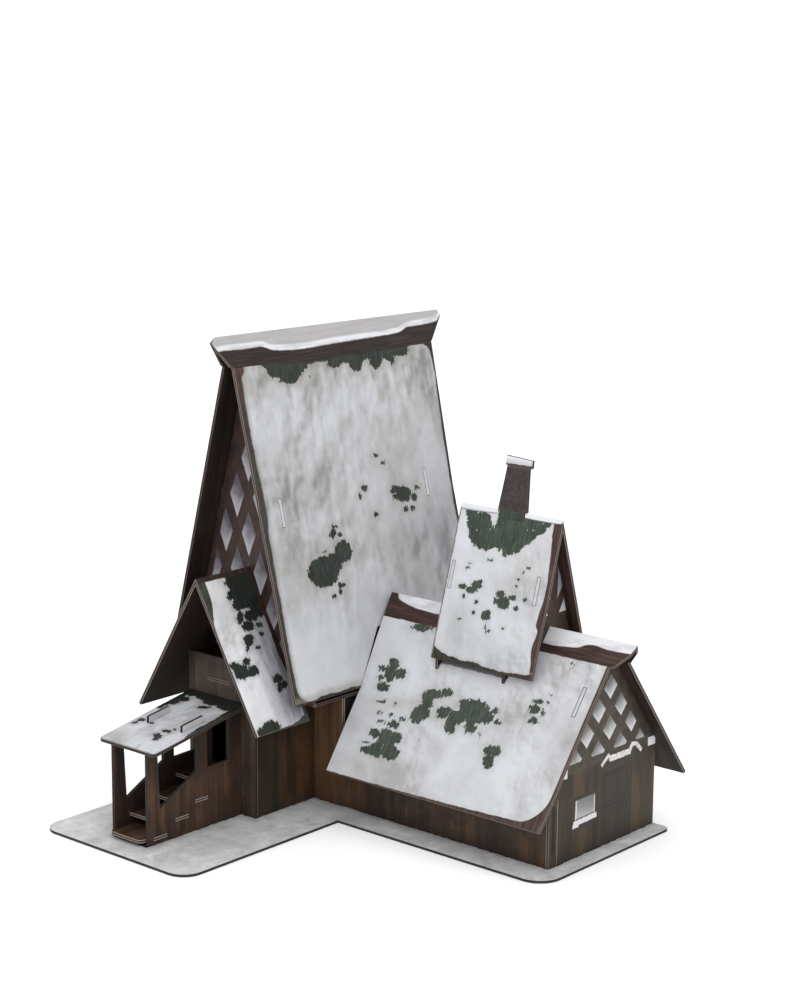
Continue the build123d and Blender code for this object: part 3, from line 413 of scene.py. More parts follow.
def print_hall(name, th, mirror):
    g = G(name)
    u, v = g.u, g.v
    seed = 0.0 if mirror is None else 20.0
    col = snow_streaked(g, seed, 0.885)
    # greenish stain near the left edge and brighter snow near the foot
    stain = g.noise(g.p, 1.0, 3.0, 0.6, stretch=(0.05, 0.03), off=30.0 + seed)
    col = g.mix(g.step(stain, 0.5, 0.72) * 0.35, col, (152, 153, 145))
    low = g.step(v, 112.0, 160.0) * g.step(u, 75.0, 15.0)
    col = g.mix(low * 0.6, col, (212, 214, 218))
    # cold shade to the right, near the low roof
    cold = g.step(u, 40.0, 108.0) * g.step(v, 52.0, 120.0)
    col = g.mix(cold * 0.62, col, g.mix(g.step(stain, 0.4, 0.6), (118, 117, 121), (156, 155, 160)))
    # thatch patches
    items = th if mirror is None else mirrored(th, mirror)
    p = g.wobble(g.p, 0.42, 3.4, 1.0, 3.0)
    d = g.blobs(p, items)
    halo = g.step(d, 4.0, 0.2)
    col = g.mix(halo * 0.30, col, (140, 137, 122))
    # fringe that hangs below the beam
    fr = [(-30.0, 14.0), (-6.0, 14.5), (0.0, 16.5), (4.0, 20.5), (8.0, 22.0), (12.0, 25.5), (18.0, 26.6), (23.0, 24.5), (27.0, 21.0), (31.0, 19.0), (36.0, 18.4), (45.0, 18.8), (50.0, 20.2), (57.0, 20.6), (61.0, 22.5), (65.5, 25.6), (69.0, 21.5), (74.0, 20.4), (78.5, 24.4), (82.0, 22.4), (86.0, 20.6), (93.0, 20.8), (99.0, 19.6), (104.0, 18.0), (108.0, 14.5), (135.0, 13.0)]
    if mirror is not None:
        fr = [(mirror - a, b) for a, b in reversed(fr)]
    fringe = v - g.curve(u, fr)
    col = g.mix(g.step(fringe, 5.0, 0.4) * 0.35, col, (136, 134, 126))
    mask = g.mx(frayed(g, d, 0.9), frayed(g, fringe, 0.95))
    col = g.mix(mask, col, thatch(g))
    # bare board left, bottom and right
    drift = g.curve(v, [(0.0, 0.0), (16.6, 0.4), (21.0, 2.6), (46.0, 3.6), (66.0, 3.2), (82.0, 2.6), (97.0, 3.9), (113.0, 4.2), (135.0, 4.5), (160.0, 4.6), (168.0, 4.4), (172.0, 3.4), (174.5, 1.4), (176.2, -1.5), (178.0, -6.0)])
    brown = wood(g, stretch=(1.4, 0.05), seed=3.0, dark=(38, 27, 24), mid=(62, 45, 39), light=(84, 66, 56))
    damp = g.ramp(g.noise(g.p, 1.0, 3.0, 0.6, stretch=(0.6, 0.1), off=7.0), [(0.35, (36, 33, 29)), (0.65, (64, 58, 51))])
    side = wavy_v(g, u + 12.2 + drift, 0.12, 0.9, 3.0)
    col = g.mix(g.step(side, 3.2, 0.0) * 0.45, col, (126, 121, 110))
    edge_col = g.mix(g.step(v, 40.0, 70.0), brown, damp)
    col = g.mix(g.step(side, 0.6, -0.6), col, edge_col)
    foot = wavy(g, v, 0.09, 1.7, 9.0)
    col = g.mix(g.step(foot, 171.5, 175.0) * 0.5, col, (138, 132, 120))
    col = g.mix(g.step(foot, 175.7, 176.2), col, damp)
    # the snow's rounded upper right corner and the dark wavy edge beside it
    rim = g.curve(v, [(0.0, 126.0), (15.0, 116.0), (18.0, 119.0), (22.0, 121.0), (28.0, 121.6), (50.0, 120.3), (90.0, 118.5), (178.0, 118.2)])
    edge_r = wavy_v(g, rim - u, 0.10, 1.1, 2.0)
    col = g.mix(g.step(edge_r, 2.2, 0.4) * 0.35, col, (150, 149, 152))
    col = g.mix(g.step(edge_r, 0.3, -0.3), col, (36, 31, 32))
    # beam under the ridge, then its cap of snow
    beam = wood(g, seed=1.0, dark=(20, 14, 13), mid=(38, 27, 24), light=(62, 47, 40))
    band = wavy(g, g.curve(u, [(-30.0, 15.6), (0.0, 15.8), (31.0, 17.4), (72.0, 17.1), (105.0, 16.9), (135.0, 16.2)]) - v, 0.35, 0.35, 5.0)
    seam = g.step((g.m("FRACT", v / 5.1) - 0.5).abs(), 0.455, 0.49)
    beam = g.mix(seam * 0.8, beam, (24, 16, 15))
    col = g.mix(g.step(band, -0.2, 0.2), col, beam)
    cap_line = g.curve(u, [(-30.0, 7.0), (-16.0, 7.1), (-8.0, 7.4), (-1.6, 7.1), (4.0, 8.0), (9.5, 9.7), (27.0, 10.9), (50.0, 10.4), (74.0, 10.0), (97.0, 9.5), (103.0, 8.4), (108.0, 7.1), (118.0, 6.9), (128.0, 6.4), (133.0, 4.0), (135.0, 2.0)])
    cap = g.mix(g.step(wavy(g, cap_line - v, 0.05, 0.6, 2.0), 3.2, 2.2), (176, 174, 175), (218, 220, 224))
    cap = g.mix(g.step(g.noise(g.p, 1.0, 3.0, 0.6, stretch=(0.05, 0.4), off=3.0), 0.4, 0.62) * 0.45, cap, (160, 157, 158))
    lip = wavy(g, cap_line - v, 0.2, 0.3, 7.0)
    col = g.mix(g.step(lip, -0.18, 0.18), col, cap)
    col = g.mix(g.step(lip.abs(), 0.45, 0.1) * 0.5, col, (120, 112, 110))
    col = slot_lines(g, g.p, col, [(-5.0, 79.6, -5.0, 93.2), (100.1, 79.6, 100.1, 93.2)], 0.4)
    return g.done(col)


def print_wing(name, th, mirror):
    g = G(name)
    u, v = g.u, g.v
    col = snow_bright(g, 0.0 if mirror is None else 20.0, 26)
    items = th if mirror is None else mirrored(th, mirror)
    p = g.wobble(g.p, 0.55, 4.2, 1.0, 4.0)
    d = g.blobs(p, items)
    col = g.mix(g.step(d, 3.0, 0.1) * 0.2, col, (150, 148, 140))
    col = g.mix(frayed(g, d, 0.85), col, thatch(g, dark=(36, 43, 37), mid=(58, 67, 58), light=(88, 97, 86)))
    # snow's rounded lower corner, with the bare board beyond it
    brown = wood(g, stretch=(1.0, 0.06), seed=3.0, dark=(42, 31, 28), mid=(66, 50, 45), light=(92, 74, 67))
    corner = g.m("MAXIMUM", -104.0 - u, 0.0)
    low = g.m("MAXIMUM", v - 78.0, 0.0)
    rad = g.m("SQRT", corner * corner + low * low)
    out = wavy(g, rad - 15.2, 0.12, 0.5, 2.0) - g.step(u, -106.0, -103.5) * 6.0
    rim = g.curve(u, [(-131.0, 91.0), (-104.0, 92.8), (-60.0, 94.3), (-31.0, 94.8), (0.0, 95.1), (18.0, 95.2)])
    foot = wavy(g, v - rim, 0.22, 0.55, 6.0)
    side = wavy_v(g, -119.2 - u, 0.08, 0.5, 4.0)
    bare = g.mx(g.mx(out, foot), side)
    col = g.mix(g.step(bare, -4.0, 0.2) * 0.30, col, (178, 176, 176))
    col = g.mix(g.step(bare, -0.18, 0.18), col, brown)
    # shade where the upper roof's foot stands on the slope
    sill = g.mx(g.mx(27.6 - v, v - 29.8), (u + 50.0).abs() - 20.5)
    col = g.mix(g.step(wavy(g, sill, 0.5, 0.8, 31.0), 0.5, -0.5) * 0.8, col, (52, 44, 40))
    # beam and its cap
    beam = wood(g, seed=1.0, dark=(30, 20, 18), mid=(56, 38, 34), light=(86, 62, 54))
    band = wavy(g, 13.0 - v, 0.30, 0.55, 5.0)
    col = g.mix(g.step(band, -0.2, 0.2), col, beam)
    cap_line = g.curve(u, [(-131.0, 4.6), (-126.0, 5.0), (-116.0, 5.2), (-108.0, 4.5), (-105.0, 4.9), (-100.0, 7.2), (-94.7, 8.0), (-85.0, 8.8), (-78.0, 8.6), (-20.0, 6.4), (-4.6, 5.9), (6.0, 4.3), (9.6, 3.2), (11.6, 2.0), (12.6, 0.0), (18.0, -2.0)])
    cap = g.mix(g.step(g.noise(g.p, 1.0, 3.0, 0.55, stretch=(0.07, 0.3), off=3.0), 0.46, 0.66) * 0.5, (222, 223, 227), (184, 183, 186))
    lip = wavy(g, cap_line - v, 0.2, 0.25, 7.0)
    col = g.mix(g.step(lip, -0.16, 0.16), col, cap)
    col = g.mix(g.step(lip.abs(), 0.4, 0.1) * 0.5, col, (128, 120, 122))
    col = slot_lines(g, g.p, col, [(-112.8, 25.1, -112.8, 39.7)], 0.9)
    return g.done(col, rough=0.6)


def print_dormer(name, th, mirror):
    g = G(name)
    u, v = g.u, g.v
    col = snow_bright(g, 3.0 if mirror is None else 23.0, 24)
    streak = g.noise(g.p, 1.0, 3.0, 0.6, stretch=(0.2, 0.06), off=15.0)
    col = g.mix(g.step(streak, 0.52, 0.7) * 0.45, col, (178, 177, 170))
    col = g.mix(g.step(v, 24.0, 52.0) * 0.25, col, (188, 192, 200))
    items = th if mirror is None else mirrored(th, mirror)
    items = [q for q in items if q[1] > 20.0]
    p = g.wobble(g.p, 0.6, 2.2, 1.0, 3.0)
    d = g.blobs(p, items)
    top = [(-87.0, 0.5), (-82.0, 2.5), (-79.5, 4.9), (-72.5, 11.0), (-68.0, 15.5), (-63.9, 19.4), (-57.6, 21.2), (-52.8, 18.4), (-44.4, 20.3), (-37.8, 18.2), (-34.7, 14.0), (-33.0, 10.0), (-31.5, 6.0), (-30.0, 3.0), (-26.5, 0.0)]
    if mirror is not None:
        top = [(mirror - a, b) for a, b in reversed(top)]
        top = [(-87.2, 0.4)] + [q for q in top if -87.1 < q[0] < -26.4] + [(-26.3, 0.0)]
    n = g.t.nodes.new("ShaderNodeSeparateXYZ")
    g.put(n.inputs[0], g.wobble(g.p, 0.35, 6.0, 5.0, 4.0))
    fringe = F(g, n.outputs[1]) - g.curve(F(g, n.outputs[0]), top)
    flecks = (g.noise(g.p, 1.0, 3.0, 0.6, stretch=(0.6, 0.25), off=44.0) - 0.69) * 14.0
    fringe = g.mx(fringe, flecks)
    notch = g.blobs(p, [(-47.6, 3.4, 1.9, 5.4, 4), (-44.6, 1.6, 3.0, 1.6, 0)] if mirror is None else [(-66.0, 3.4, 1.9, 5.0, 4)])
    d = g.mn(d, g.mx(fringe, -notch))
    col = g.mix(g.step(d, 2.0, 0.1) * 0.2, col, (150, 149, 138))
    col = g.mix(frayed(g, d, 0.62), col, thatch(g, dark=(34, 42, 35), mid=(54, 65, 55), light=(82, 94, 80)))
    brown = wood(g, stretch=(1.0, 0.06), seed=3.0, dark=(40, 27, 25), mid=(62, 44, 39), light=(86, 65, 58))
    olive = wood(g, stretch=(1.0, 0.3), seed=5.0, dark=(28, 26, 21), mid=(46, 43, 35), light=(68, 63, 53))
    right = g.curve(v, [(0.0, 3.4), (5.0, 4.6), (10.0, 4.0), (24.0, 2.5), (34.0, 1.9), (49.4, 3.5), (53.0, 2.1), (60.0, 3.3), (72.0, 2.0), (76.0, 2.6)])
    edge = wavy_v(g, u + 86.96 - right, 0.25, 0.4, 3.0)
    if mirror is not None:
        edge = wavy_v(g, u + 86.96 - right, 0.25, 0.4, 13.0)
    col = g.mix(g.step(edge, 0.18, -0.18), col, brown)
    foot = wavy(g, v, 0.22, 1.1, 8.0)
    rim = g.curve(u, [(-87.0, 72.2), (-80.0, 73.4), (-60.0, 74.0), (-50.0, 72.8), (-46.0, 73.2), (-38.0, 72.6), (-30.0, 70.6), (-26.7, 67.5)])
    col = g.mix(g.step(foot - rim, -1.8, 0.2) * 0.4, col, (160, 158, 142))
    col = g.mix(g.step(foot - rim, -0.2, 0.2), col, g.mix(g.step(u, -74.0, -80.0), olive, brown))
    # painted shade: a dark band along the foot of the roof stands for the shadow below the eave
    col = g.mix(g.step(wavy(g, v, 0.5, 0.7, 18.0), 75.2, 75.9), col, (36, 29, 26))
    left = wavy_v(g, -27.5 - u, 0.3, 0.7, 6.0)
    col = g.mix(g.step(left, 0.1, -0.25), col, g.mix(0.5, olive, (150, 148, 136)))
    # snow strips along the ridge on each side of the chimney
    cap_w = g.curve(u, [(-87.0, 1.0), (-85.4, 2.2), (-72.0, 2.4), (-65.4, 2.2), (-64.6, -1.0), (-49.6, -1.0), (-48.6, 2.2), (-40.0, 2.8), (-28.0, 3.0), (-26.7, 1.8)])
    cap = g.mix(g.step(v / 1.0, 1.6, 2.6), (222, 223, 227), (190, 190, 194))
    lip = wavy(g, cap_w - v, 0.3, 0.2, 7.0)
    col = g.mix(g.step(lip, -0.14, 0.14), col, cap)
    col = g.mix(g.step(lip.abs(), 0.4, 0.1) * 0.6, col, (74, 72, 70))
    col = slot_lines(g, g.p, col, [(-29.2, 28.0, -29.2, 41.1), (-80.0, 28.0, -80.0, 41.1)], 0.45)
    return g.done(col, rough=0.6)


def print_entry(name, th, flip):
    g = G(name)
    u, v = g.u, g.v
    base = snow_bright(g, 7.0 if not flip else 27.0, -2)
    violet = g.step(wavy_v(g, u, 0.03, 8.0, 4.0) + g.step(v, 10.0, 60.0) * 5.0, -27.0, -11.0)
    col = g.mix(violet * 0.85, base, g.ramp(g.noise(g.p, 1.0, 3.0, 0.6, stretch=(0.22, 0.05), off=6.0), [(0.35, (104, 101, 111)), (0.5, (142, 140, 150)), (0.65, (178, 177, 188))]))
    p = g.wobble(g.p, 0.6, 2.4, 1.0 if not flip else 11.0, 3.0)
    d = g.blobs(p, th)
    col = g.mix(g.step(d, 2.0, 0.1) * 0.3, col, (150, 148, 140))
    d = g.mn(d, g.mx(3.0 - v, g.mx(v - 19.0, g.mx(-23.0 - u, u + 7.0))) - 0.6)
    col = g.mix(frayed(g, d, 0.75), col, thatch(g, dark=(16, 20, 17), mid=(32, 38, 33), light=(54, 60, 53)))
    brown = wood(g, stretch=(1.1, 0.06), seed=3.0, dark=(34, 23, 21), mid=(56, 39, 35), light=(80, 60, 53))
    olive = thatch(g, dark=(40, 42, 35), mid=(62, 64, 54), light=(96, 96, 84))
    left = wavy_v(g, g.curve(v, [(0.0, 1.2), (3.0, 4.9), (20.0, 1.8), (26.0, 0.3), (80.0, 0.0)]) - (u + 41.38), 0.3, 0.35, 5.0)
    col = g.mix(g.step(left, -0.15, 0.15), col, olive)
    right = wavy_v(g, u - g.curve(v, [(0.0, -8.0), (12.0, -7.6), (20.0, -8.8), (31.0, -8.6), (43.0, -9.4), (60.0, -7.6), (74.0, -8.0), (84.0, -8.6)]), 0.25, 0.6, 2.0)
    col = g.mix(g.step(right, -0.15, 0.15), col, g.mix(g.step(v, 58.0, 72.0), brown, (60, 64, 62)))
    foot = wavy(g, v - g.curve(u, [(-42.0, 82.5), (-37.0, 79.5), (-25.0, 79.2), (-15.0, 78.6), (-9.0, 76.6), (-6.0, 75.8)]), 0.3, 0.6, 8.0)
    col = g.mix(g.step(foot, -0.15, 0.15), col, g.mix(g.step(u, -22.0, -14.0), olive, (60, 64, 62)))
    top = wavy(g, 2.6 - v, 0.3, 0.35, 4.0)
    col = g.mix(g.step(top, -0.15, 0.15), col, brown)
    return g.done(col)


def print_porch_roof():
    g = G("porch_roof_print")
    u, v = g.u, g.v
    col = snow_bright(g, 11.0, 22)
    st = g.noise(g.p, 1.0, 3.0, 0.55, stretch=(0.09, 0.16), off=5.0)
    col = g.mix(g.step(st, 0.48, 0.62) * 0.6, col, (168, 169, 174))
    p = g.wobble(g.p, 0.7, 2.0, 1.0, 3.0)
    d = g.blobs(p, PR_TH)
    s = g.noise(g.p, 1.0, 2.0, 0.6, stretch=(0.25, 1.6), off=12.0) - 0.5
    green = thatch(g, along=(0.2, 1.8), dark=(16, 19, 16), mid=(32, 36, 31), light=(56, 60, 53))
    end = wavy_v(g, 55.0 - u, 0.12, 6.0, 21.0)
    band = g.mx(v - g.curve(u, [(0.0, 30.0), (18.0, 34.0), (26.0, 36.6), (40.0, 37.4), (54.0, 39.0), (66.0, 42.0)]), 20.0 - u)
    far = g.mx(70.5 - v, 38.0 - u)
    d = g.mn(d, g.mn(g.mx(end, -100.0), g.mn(band, far)))
    col = g.mix(g.step(d, 3.0, 0.2) * 0.3, col, (140, 140, 138))
    col = g.mix(g.step(d + s * 3.0, 0.2, -0.2), col, green)
    col = g.mix(g.step(u, 56.0, 60.0) * g.step(s, -0.25, 0.1) * 0.6, col, (34, 28, 25))
    rimline = g.mn(g.mn(v - 34.2, 75.4 - v), u - 0.4)
    col = g.mix(g.step(rimline, 0.7, 0.2) * 0.55, col, (70, 66, 62))
    return g.done(col)


def planks(g, width=3.1, seed=0.0, dark=(31, 22, 15), mid=(54, 38, 25), light=(78, 55, 34), gold=(94, 66, 35), gold_amt=0.45, horiz=False):
    """Upright boards with fine seams, grain and warmer worn stretches."""
    u, v = (g.v, g.u) if horiz else (g.u, g.v)
    i = g.m("FLOOR", u / width)
    f = g.m("FRACT", u / width)
    wn = g.t.nodes.new("ShaderNodeTexWhiteNoise")
    wn.noise_dimensions = "1D"
    g.put(wn.inputs["W"], i + seed)
    tone = F(g, wn.outputs["Value"])
    grain = g.noise(g.p, 1.0, 4.0, 0.65, stretch=(0.06, 1.9) if horiz else (1.9, 0.06), off=seed + 1.0, dist=0.4)
    blot = g.noise(g.p, 1.0, 2.0, 0.5, stretch=(0.05, 0.03), off=seed + 7.0)
    col = g.ramp(grain * 0.55 + tone * 0.18 + blot * 0.27, [(0.33, dark), (0.5, mid), (0.68, light)])
    worn = g.step(g.noise(g.p, 1.0, 3.0, 0.55, stretch=(0.022, 0.09) if horiz else (0.09, 0.022), off=seed + 13.0), 0.5, 0.68)
    col = g.mix(worn * gold_amt, col, gold)
    seam = g.step((f - 0.5).abs(), 0.42, 0.49)
    return g.mix(seam * 0.5, col, dark)


def plank_wall(name, seed=0.0, shade_top=None, mottle=0.25, shade_u=None, lit_span=None, **kw):
    g = G(name)
    col = planks(g, seed=seed, **kw)
    # painted light and shade: past the given span of u a brighter copy of the planks stands for wall in the light, the
    # planks before it for wall in shade
    if lit_span:
        col = g.mix(g.step(g.u, lit_span[0], lit_span[1]), col, planks(g, seed=seed + 2.0, dark=(48, 34, 23), mid=(80, 57, 37), light=(106, 76, 47), gold=(118, 84, 46)))
    if shade_u:
        col = g.mix(g.step(g.u, shade_u[0], shade_u[1]) * shade_u[2], col, (14, 11, 10))
    if shade_top:
        col = g.mix(g.step(g.v, shade_top[0], shade_top[1]) * shade_top[2], col, (14, 11, 10))
    # mottled damp blots; then painted shade darkening the foot of the wall where it stands on the base
    blot = g.noise(g.p, 1.0, 4.0, 0.65, stretch=(0.10, 0.16), off=seed + 33.0)
    spread = g.step(g.u, -2.0, -8.0) if lit_span else 1.0
    col = g.mix(g.step(blot, 0.46, 0.62) * mottle * spread, col, (34, 25, 22))
    col = g.mix(g.step(g.v, 9.0, 2.0) * 0.35, col, (24, 18, 16))
    return g.done(col, rough=0.58)


def dark_inner(name="inner_planks", k=1.0, horiz=False):
    g = G(name)
    dark, mid, light = ((int(a * k), int(b * k), int(c * k)) for a, b, c in ((17, 12, 11), (32, 23, 20), (52, 38, 32)))
    col = planks(g, width=5.2, seed=4.0, dark=dark, mid=mid, light=light, gold=(int(58 * k), int(40 * k), int(33 * k)), gold_amt=0.35, horiz=horiz)
    return g.done(col, rough=0.6)


def card_edge(name="card_edge", skin=(126, 117, 110), core=(62, 53, 48)):
    """Laser-cut edge: darker core between two pale printed skins."""
    g = G(name)
    w = g.w
    a = g.noise(g.p, 1.0, 3.0, 0.6, stretch=(0.5, 0.5), off=2.0)
    c = g.ramp(a, [(0.35, tuple(int(x * 0.82) for x in core)), (0.65, tuple(int(x * 1.15) for x in core))])
    mid = g.step((w - T / 2).abs(), 0.34, 0.52)
    c = g.mix(mid, c, skin)
    return g.done(c, rough=0.8, grain=0.03)


def snow_card(name, c=(196, 197, 201)):
    """Tab end printed in the snow colour of the panel round it."""
    g = G(name)
    a = g.noise(g.p, 1.0, 3.0, 0.6, stretch=(0.3, 0.3), off=2.0)
    return g.done(g.ramp(a, [(0.35, tuple(int(x * 0.94) for x in c)), (0.65, c)]), rough=0.7)


def lattice(g, cu, cv, du, dv, k, beam, pane_top=(104, 102, 106), pane_low=(196, 196, 199)):
    """Diamond panes between crossing laths; each pane fades from grey to snow."""
    p = g.wobble(g.p, 0.35, 0.5, 3.0, 2.0)
    n = g.t.nodes.new("ShaderNodeSeparateXYZ")
    g.put(n.inputs[0], p)
    a = (F(g, n.outputs[0]) - cu) / du
    b = (F(g, n.outputs[1]) - cv) / dv
    s = (a + b) * 0.5
    t = (a - b) * 0.5
    fs = s - g.m("ROUND", s)
    ft = t - g.m("ROUND", t)
    m = g.mx(fs.abs(), ft.abs())
    up = fs - ft
    soft = g.noise(g.p, 1.0, 2.0, 0.5, stretch=(0.2, 0.2), off=4.0)
    side = (fs + ft) * 0.35
    rim = g.step(m, k * 0.45, k * 0.98)
    pane = g.ramp(up * 0.8 + side * -1.0 + 0.5 + (soft - 0.5) * 0.5, [(0.06, pane_low), (0.34, tuple(int(x * 0.86) for x in pane_low)), (0.74, pane_top)])
    pane = g.mix(rim * g.step(up, 0.15, -0.35) * 0.65, pane, pane_low)
    return g.mix(g.step(m, k - 0.012, k + 0.012), pane, beam), m


def print_hall_gable(name="hall_gable_print"):
    g = G(name)
    beam = wood(g, stretch=(0.25, 0.12), seed=2.0, dark=(38, 27, 24), mid=(54, 39, 34), light=(70, 51, 42))
    col, m = lattice(g, 60.9, 153.3, 7.75, 18.3, 0.30, beam, pane_top=(84, 80, 88), pane_low=(172, 169, 176))
    board = wood(g, stretch=(0.7, 0.08), seed=6.0, dark=(36, 24, 20), mid=(60, 42, 33), light=(84, 62, 46))
    col = g.mix(g.step(g.v, 178.6, 179.2), col, beam)
    col = g.mix(g.step(g.v, 183.4, 184.0), col, board)
    # side rails follow the slopes
    rail = (g.u - 53.16).abs() - (231.88 - g.v) * 0.2569
    col = g.mix(g.step(rail, -6.3, -5.6), col, beam)
    col = g.mix(g.step(g.v, 66.4, 66.0), col, beam)
    col = g.mix(g.step(g.v, 60.6, 60.1), col, planks(g, width=3.3, seed=7.0))
    return g.done(col, rough=0.58)


def print_wing_gable():
    g = G("wing_gable_print")
    beam = wood(g, stretch=(0.16, 0.16), seed=2.0, dark=(50, 43, 36), mid=(64, 55, 46), light=(78, 69, 57))
    col, m = lattice(g, 60.9, 58.2, 8.75, 9.85, 0.30, beam, pane_top=(108, 107, 106), pane_low=(202, 202, 203))
    # side rails under the slopes
    rail = (g.u - 57.4).abs() - (101.13 - g.v) * 0.7635
    col = g.mix(g.step(rail, -9.6, -8.9), col, wood(g, stretch=(0.2, 0.2), seed=5.0, dark=(40, 34, 28), mid=(56, 48, 40), light=(72, 62, 52)))
    wall = planks(g, width=3.3, seed=3.0, dark=(36, 30, 24), mid=(52, 43, 34), light=(68, 56, 42), gold=(88, 70, 44), gold_amt=0.55)
    plate = g.step(g.v, 47.6, 47.1)
    col = g.mix(plate, col, beam)
    col = g.mix(g.step(g.v, 43.0, 42.5), col, wall)
    # door with its frame and panels
    door = g.poly(g.p, [(57.0, 2.0), (78.6, 2.0), (78.6, 38.2), (57.0, 38.2)])
    leaf = planks(g, width=2.7, seed=8.0, dark=(39, 34, 29), mid=(50, 44, 37), light=(60, 53, 44), gold=(60, 52, 40), gold_amt=0.3)
    col = g.mix(g.step(door, 1.6, 0.9), col, (48, 41, 34))
    col = g.mix(g.step(door, 0.15, -0.15), col, leaf)
    rails = g.mn(g.seg(g.p, (58.0, 20.5), (77.6, 20.5), 0.45), g.seg(g.p, (58.0, 36.2), (77.6, 36.2), 0.9))
    col = g.mix(g.step(rails, 0.15, -0.15) * 0.85, col, (40, 35, 30))
    panel = g.mn(g.poly(g.p, [(59.5, 22.8), (76.0, 22.8), (76.0, 34.0), (59.5, 34.0)]).abs(), g.poly(g.p, [(59.5, 4.5), (76.0, 4.5), (76.0, 18.2), (59.5, 18.2)]).abs())
    col = g.mix(g.step(panel, 0.45, 0.15) * 0.55, col, (38, 34, 30))
    ring = (g.blobs(g.p, [(75.2, 17.0, 1.3, 1.6, 0)])).abs()
    col = g.mix(g.step(ring, 0.35, 0.15) * 0.8, col, (34, 31, 28))
    # lintel below the snow ledge
    col = g.mix(g.step(g.poly(g.p, [(54.5, 37.4), (81.6, 37.4), (81.6, 42.2), (54.5, 42.2)]), 0.2, -0.2), col, wood(g, seed=4.0, dark=(40, 34, 30), mid=(58, 50, 43), light=(76, 66, 55)))
    q = g.wobble(g.p, 0.5, 1.0, 2.0, 2.0)
    ledge = g.seg(q, (55.2, 41.0), (61.2, 45.4), 0.95)
    for a, b, hw in (((62.2, 42.9), (78.4, 43.0), 1.5), ((77.8, 43.0), (79.2, 45.8), 1.2), ((78.6, 46.0), (82.8, 45.6), 1.0), ((82.6, 45.6), (87.2, 41.2), 1.0), ((61.0, 45.2), (62.0, 42.0), 0.7)):
        ledge = g.mn(ledge, g.seg(q, a, b, hw))
    col = g.mix(g.step(ledge, 1.6, 0.2) * 0.45, col, (44, 38, 32))
    col = g.mix(g.step(ledge, 0.18, -0.18), col, g.mix(g.step(g.noise(g.p, 0.4, 2.0), 0.4, 0.7), (212, 210, 210), (182, 178, 177)))
    # window with its sill of snow
    win = g.poly(g.p, [(35.9, 20.2), (51.0, 20.2), (51.0, 29.3), (35.9, 29.3)])
    pane = g.ramp(g.v / 10.0 - 2.02 + (g.u - 43.0) * 0.02, [(0.0, (170, 173, 172)), (0.45, (132, 134, 132)), (1.0, (104, 106, 104))])
    col = g.mix(g.step(win, 1.9, 1.3), col, (50, 43, 36))
    col = g.mix(g.step(win, 0.2, -0.3), col, pane)
    jamb = g.mn(g.seg(q, (36.2, 19.0), (36.4, 29.0), 0.55), g.seg(q, (50.4, 19.0), (50.4, 28.6), 0.35))
    col = g.mix(g.step(jamb, 0.2, -0.2) * 0.85, col, (206, 206, 208))
    sill = g.mn(g.seg(q, (34.4, 18.3), (52.2, 18.6), 1.25), g.seg(q, (34.0, 17.2), (38.5, 17.2), 1.1))
    under = g.seg(q, (35.0, 15.6), (51.5, 16.2), 0.9)
    col = g.mix(g.step(under, 1.0, 0.0) * 0.5, col, (38, 36, 36))
    col = g.mix(g.step(sill, 1.2, 0.1) * 0.4, col, (44, 38, 32))
    col = g.mix(g.step(sill, 0.18, -0.18), col, (214, 213, 214))
    # little drifts on the ends of the wall plate
    drift = g.mn(g.seg(q, (92.4, 43.9), (100.0, 43.9), 2.1), g.seg(q, (24.6, 43.9), (29.2, 43.6), 1.9))
    col = g.mix(g.step(drift, 0.18, -0.18), col, (212, 210, 212))
    # joint where the long wall meets the gable
    gap = g.seg(g.p, (19.4, 8.0), (19.4, 31.0), 1.25)
    col = g.mix(g.step(gap, 0.2, -0.2), col, (26, 19, 17))
    col = g.mix(g.step((g.u - 22.4).abs(), 0.34, 0.16) * g.step(g.v, 34.0, 32.0), col, (128, 116, 106))
    # painted shade darkening the foot of the gable where it stands on the base
    col = g.mix(g.step(g.v, 7.0, 1.5) * 0.35, col, (34, 28, 24))
    return g.done(col, rough=0.6)


def print_dormer_gable(name="dormer_gable_print"):
    g = G(name)
    beam = wood(g, stretch=(0.3, 0.15), seed=2.0, dark=(42, 30, 25), mid=(62, 46, 37), light=(82, 62, 49))
    col = beam
    panes = None
    for q in ([(63.0, 136.0), (68.9, 122.8), (62.4, 113.8)], [(70.7, 118.0), (72.8, 106.6), (64.0, 106.6)]):
        for pts in (q, [(119.4 - a, b) for a, b in q]):
            d = g.poly(g.p, pts)
            panes = d if panes is None else g.mn(panes, d)
    shade = g.ramp((g.v - 104.0) / 34.0 + (g.noise(g.p, 0.3, 2.0) - 0.5) * 0.5, [(0.05, (198, 197, 198)), (0.4, (146, 143, 147)), (0.9, (112, 110, 114))])
    col = g.mix(g.step(panes, 0.15, -0.15), col, shade)
    board = planks(g, width=3.0, seed=5.0, dark=(38, 28, 22), mid=(56, 42, 32), light=(72, 55, 41), gold_amt=0.3)
    col = g.mix(g.step(g.v, 105.2, 104.6), col, board)
    return g.done(col, rough=0.58)


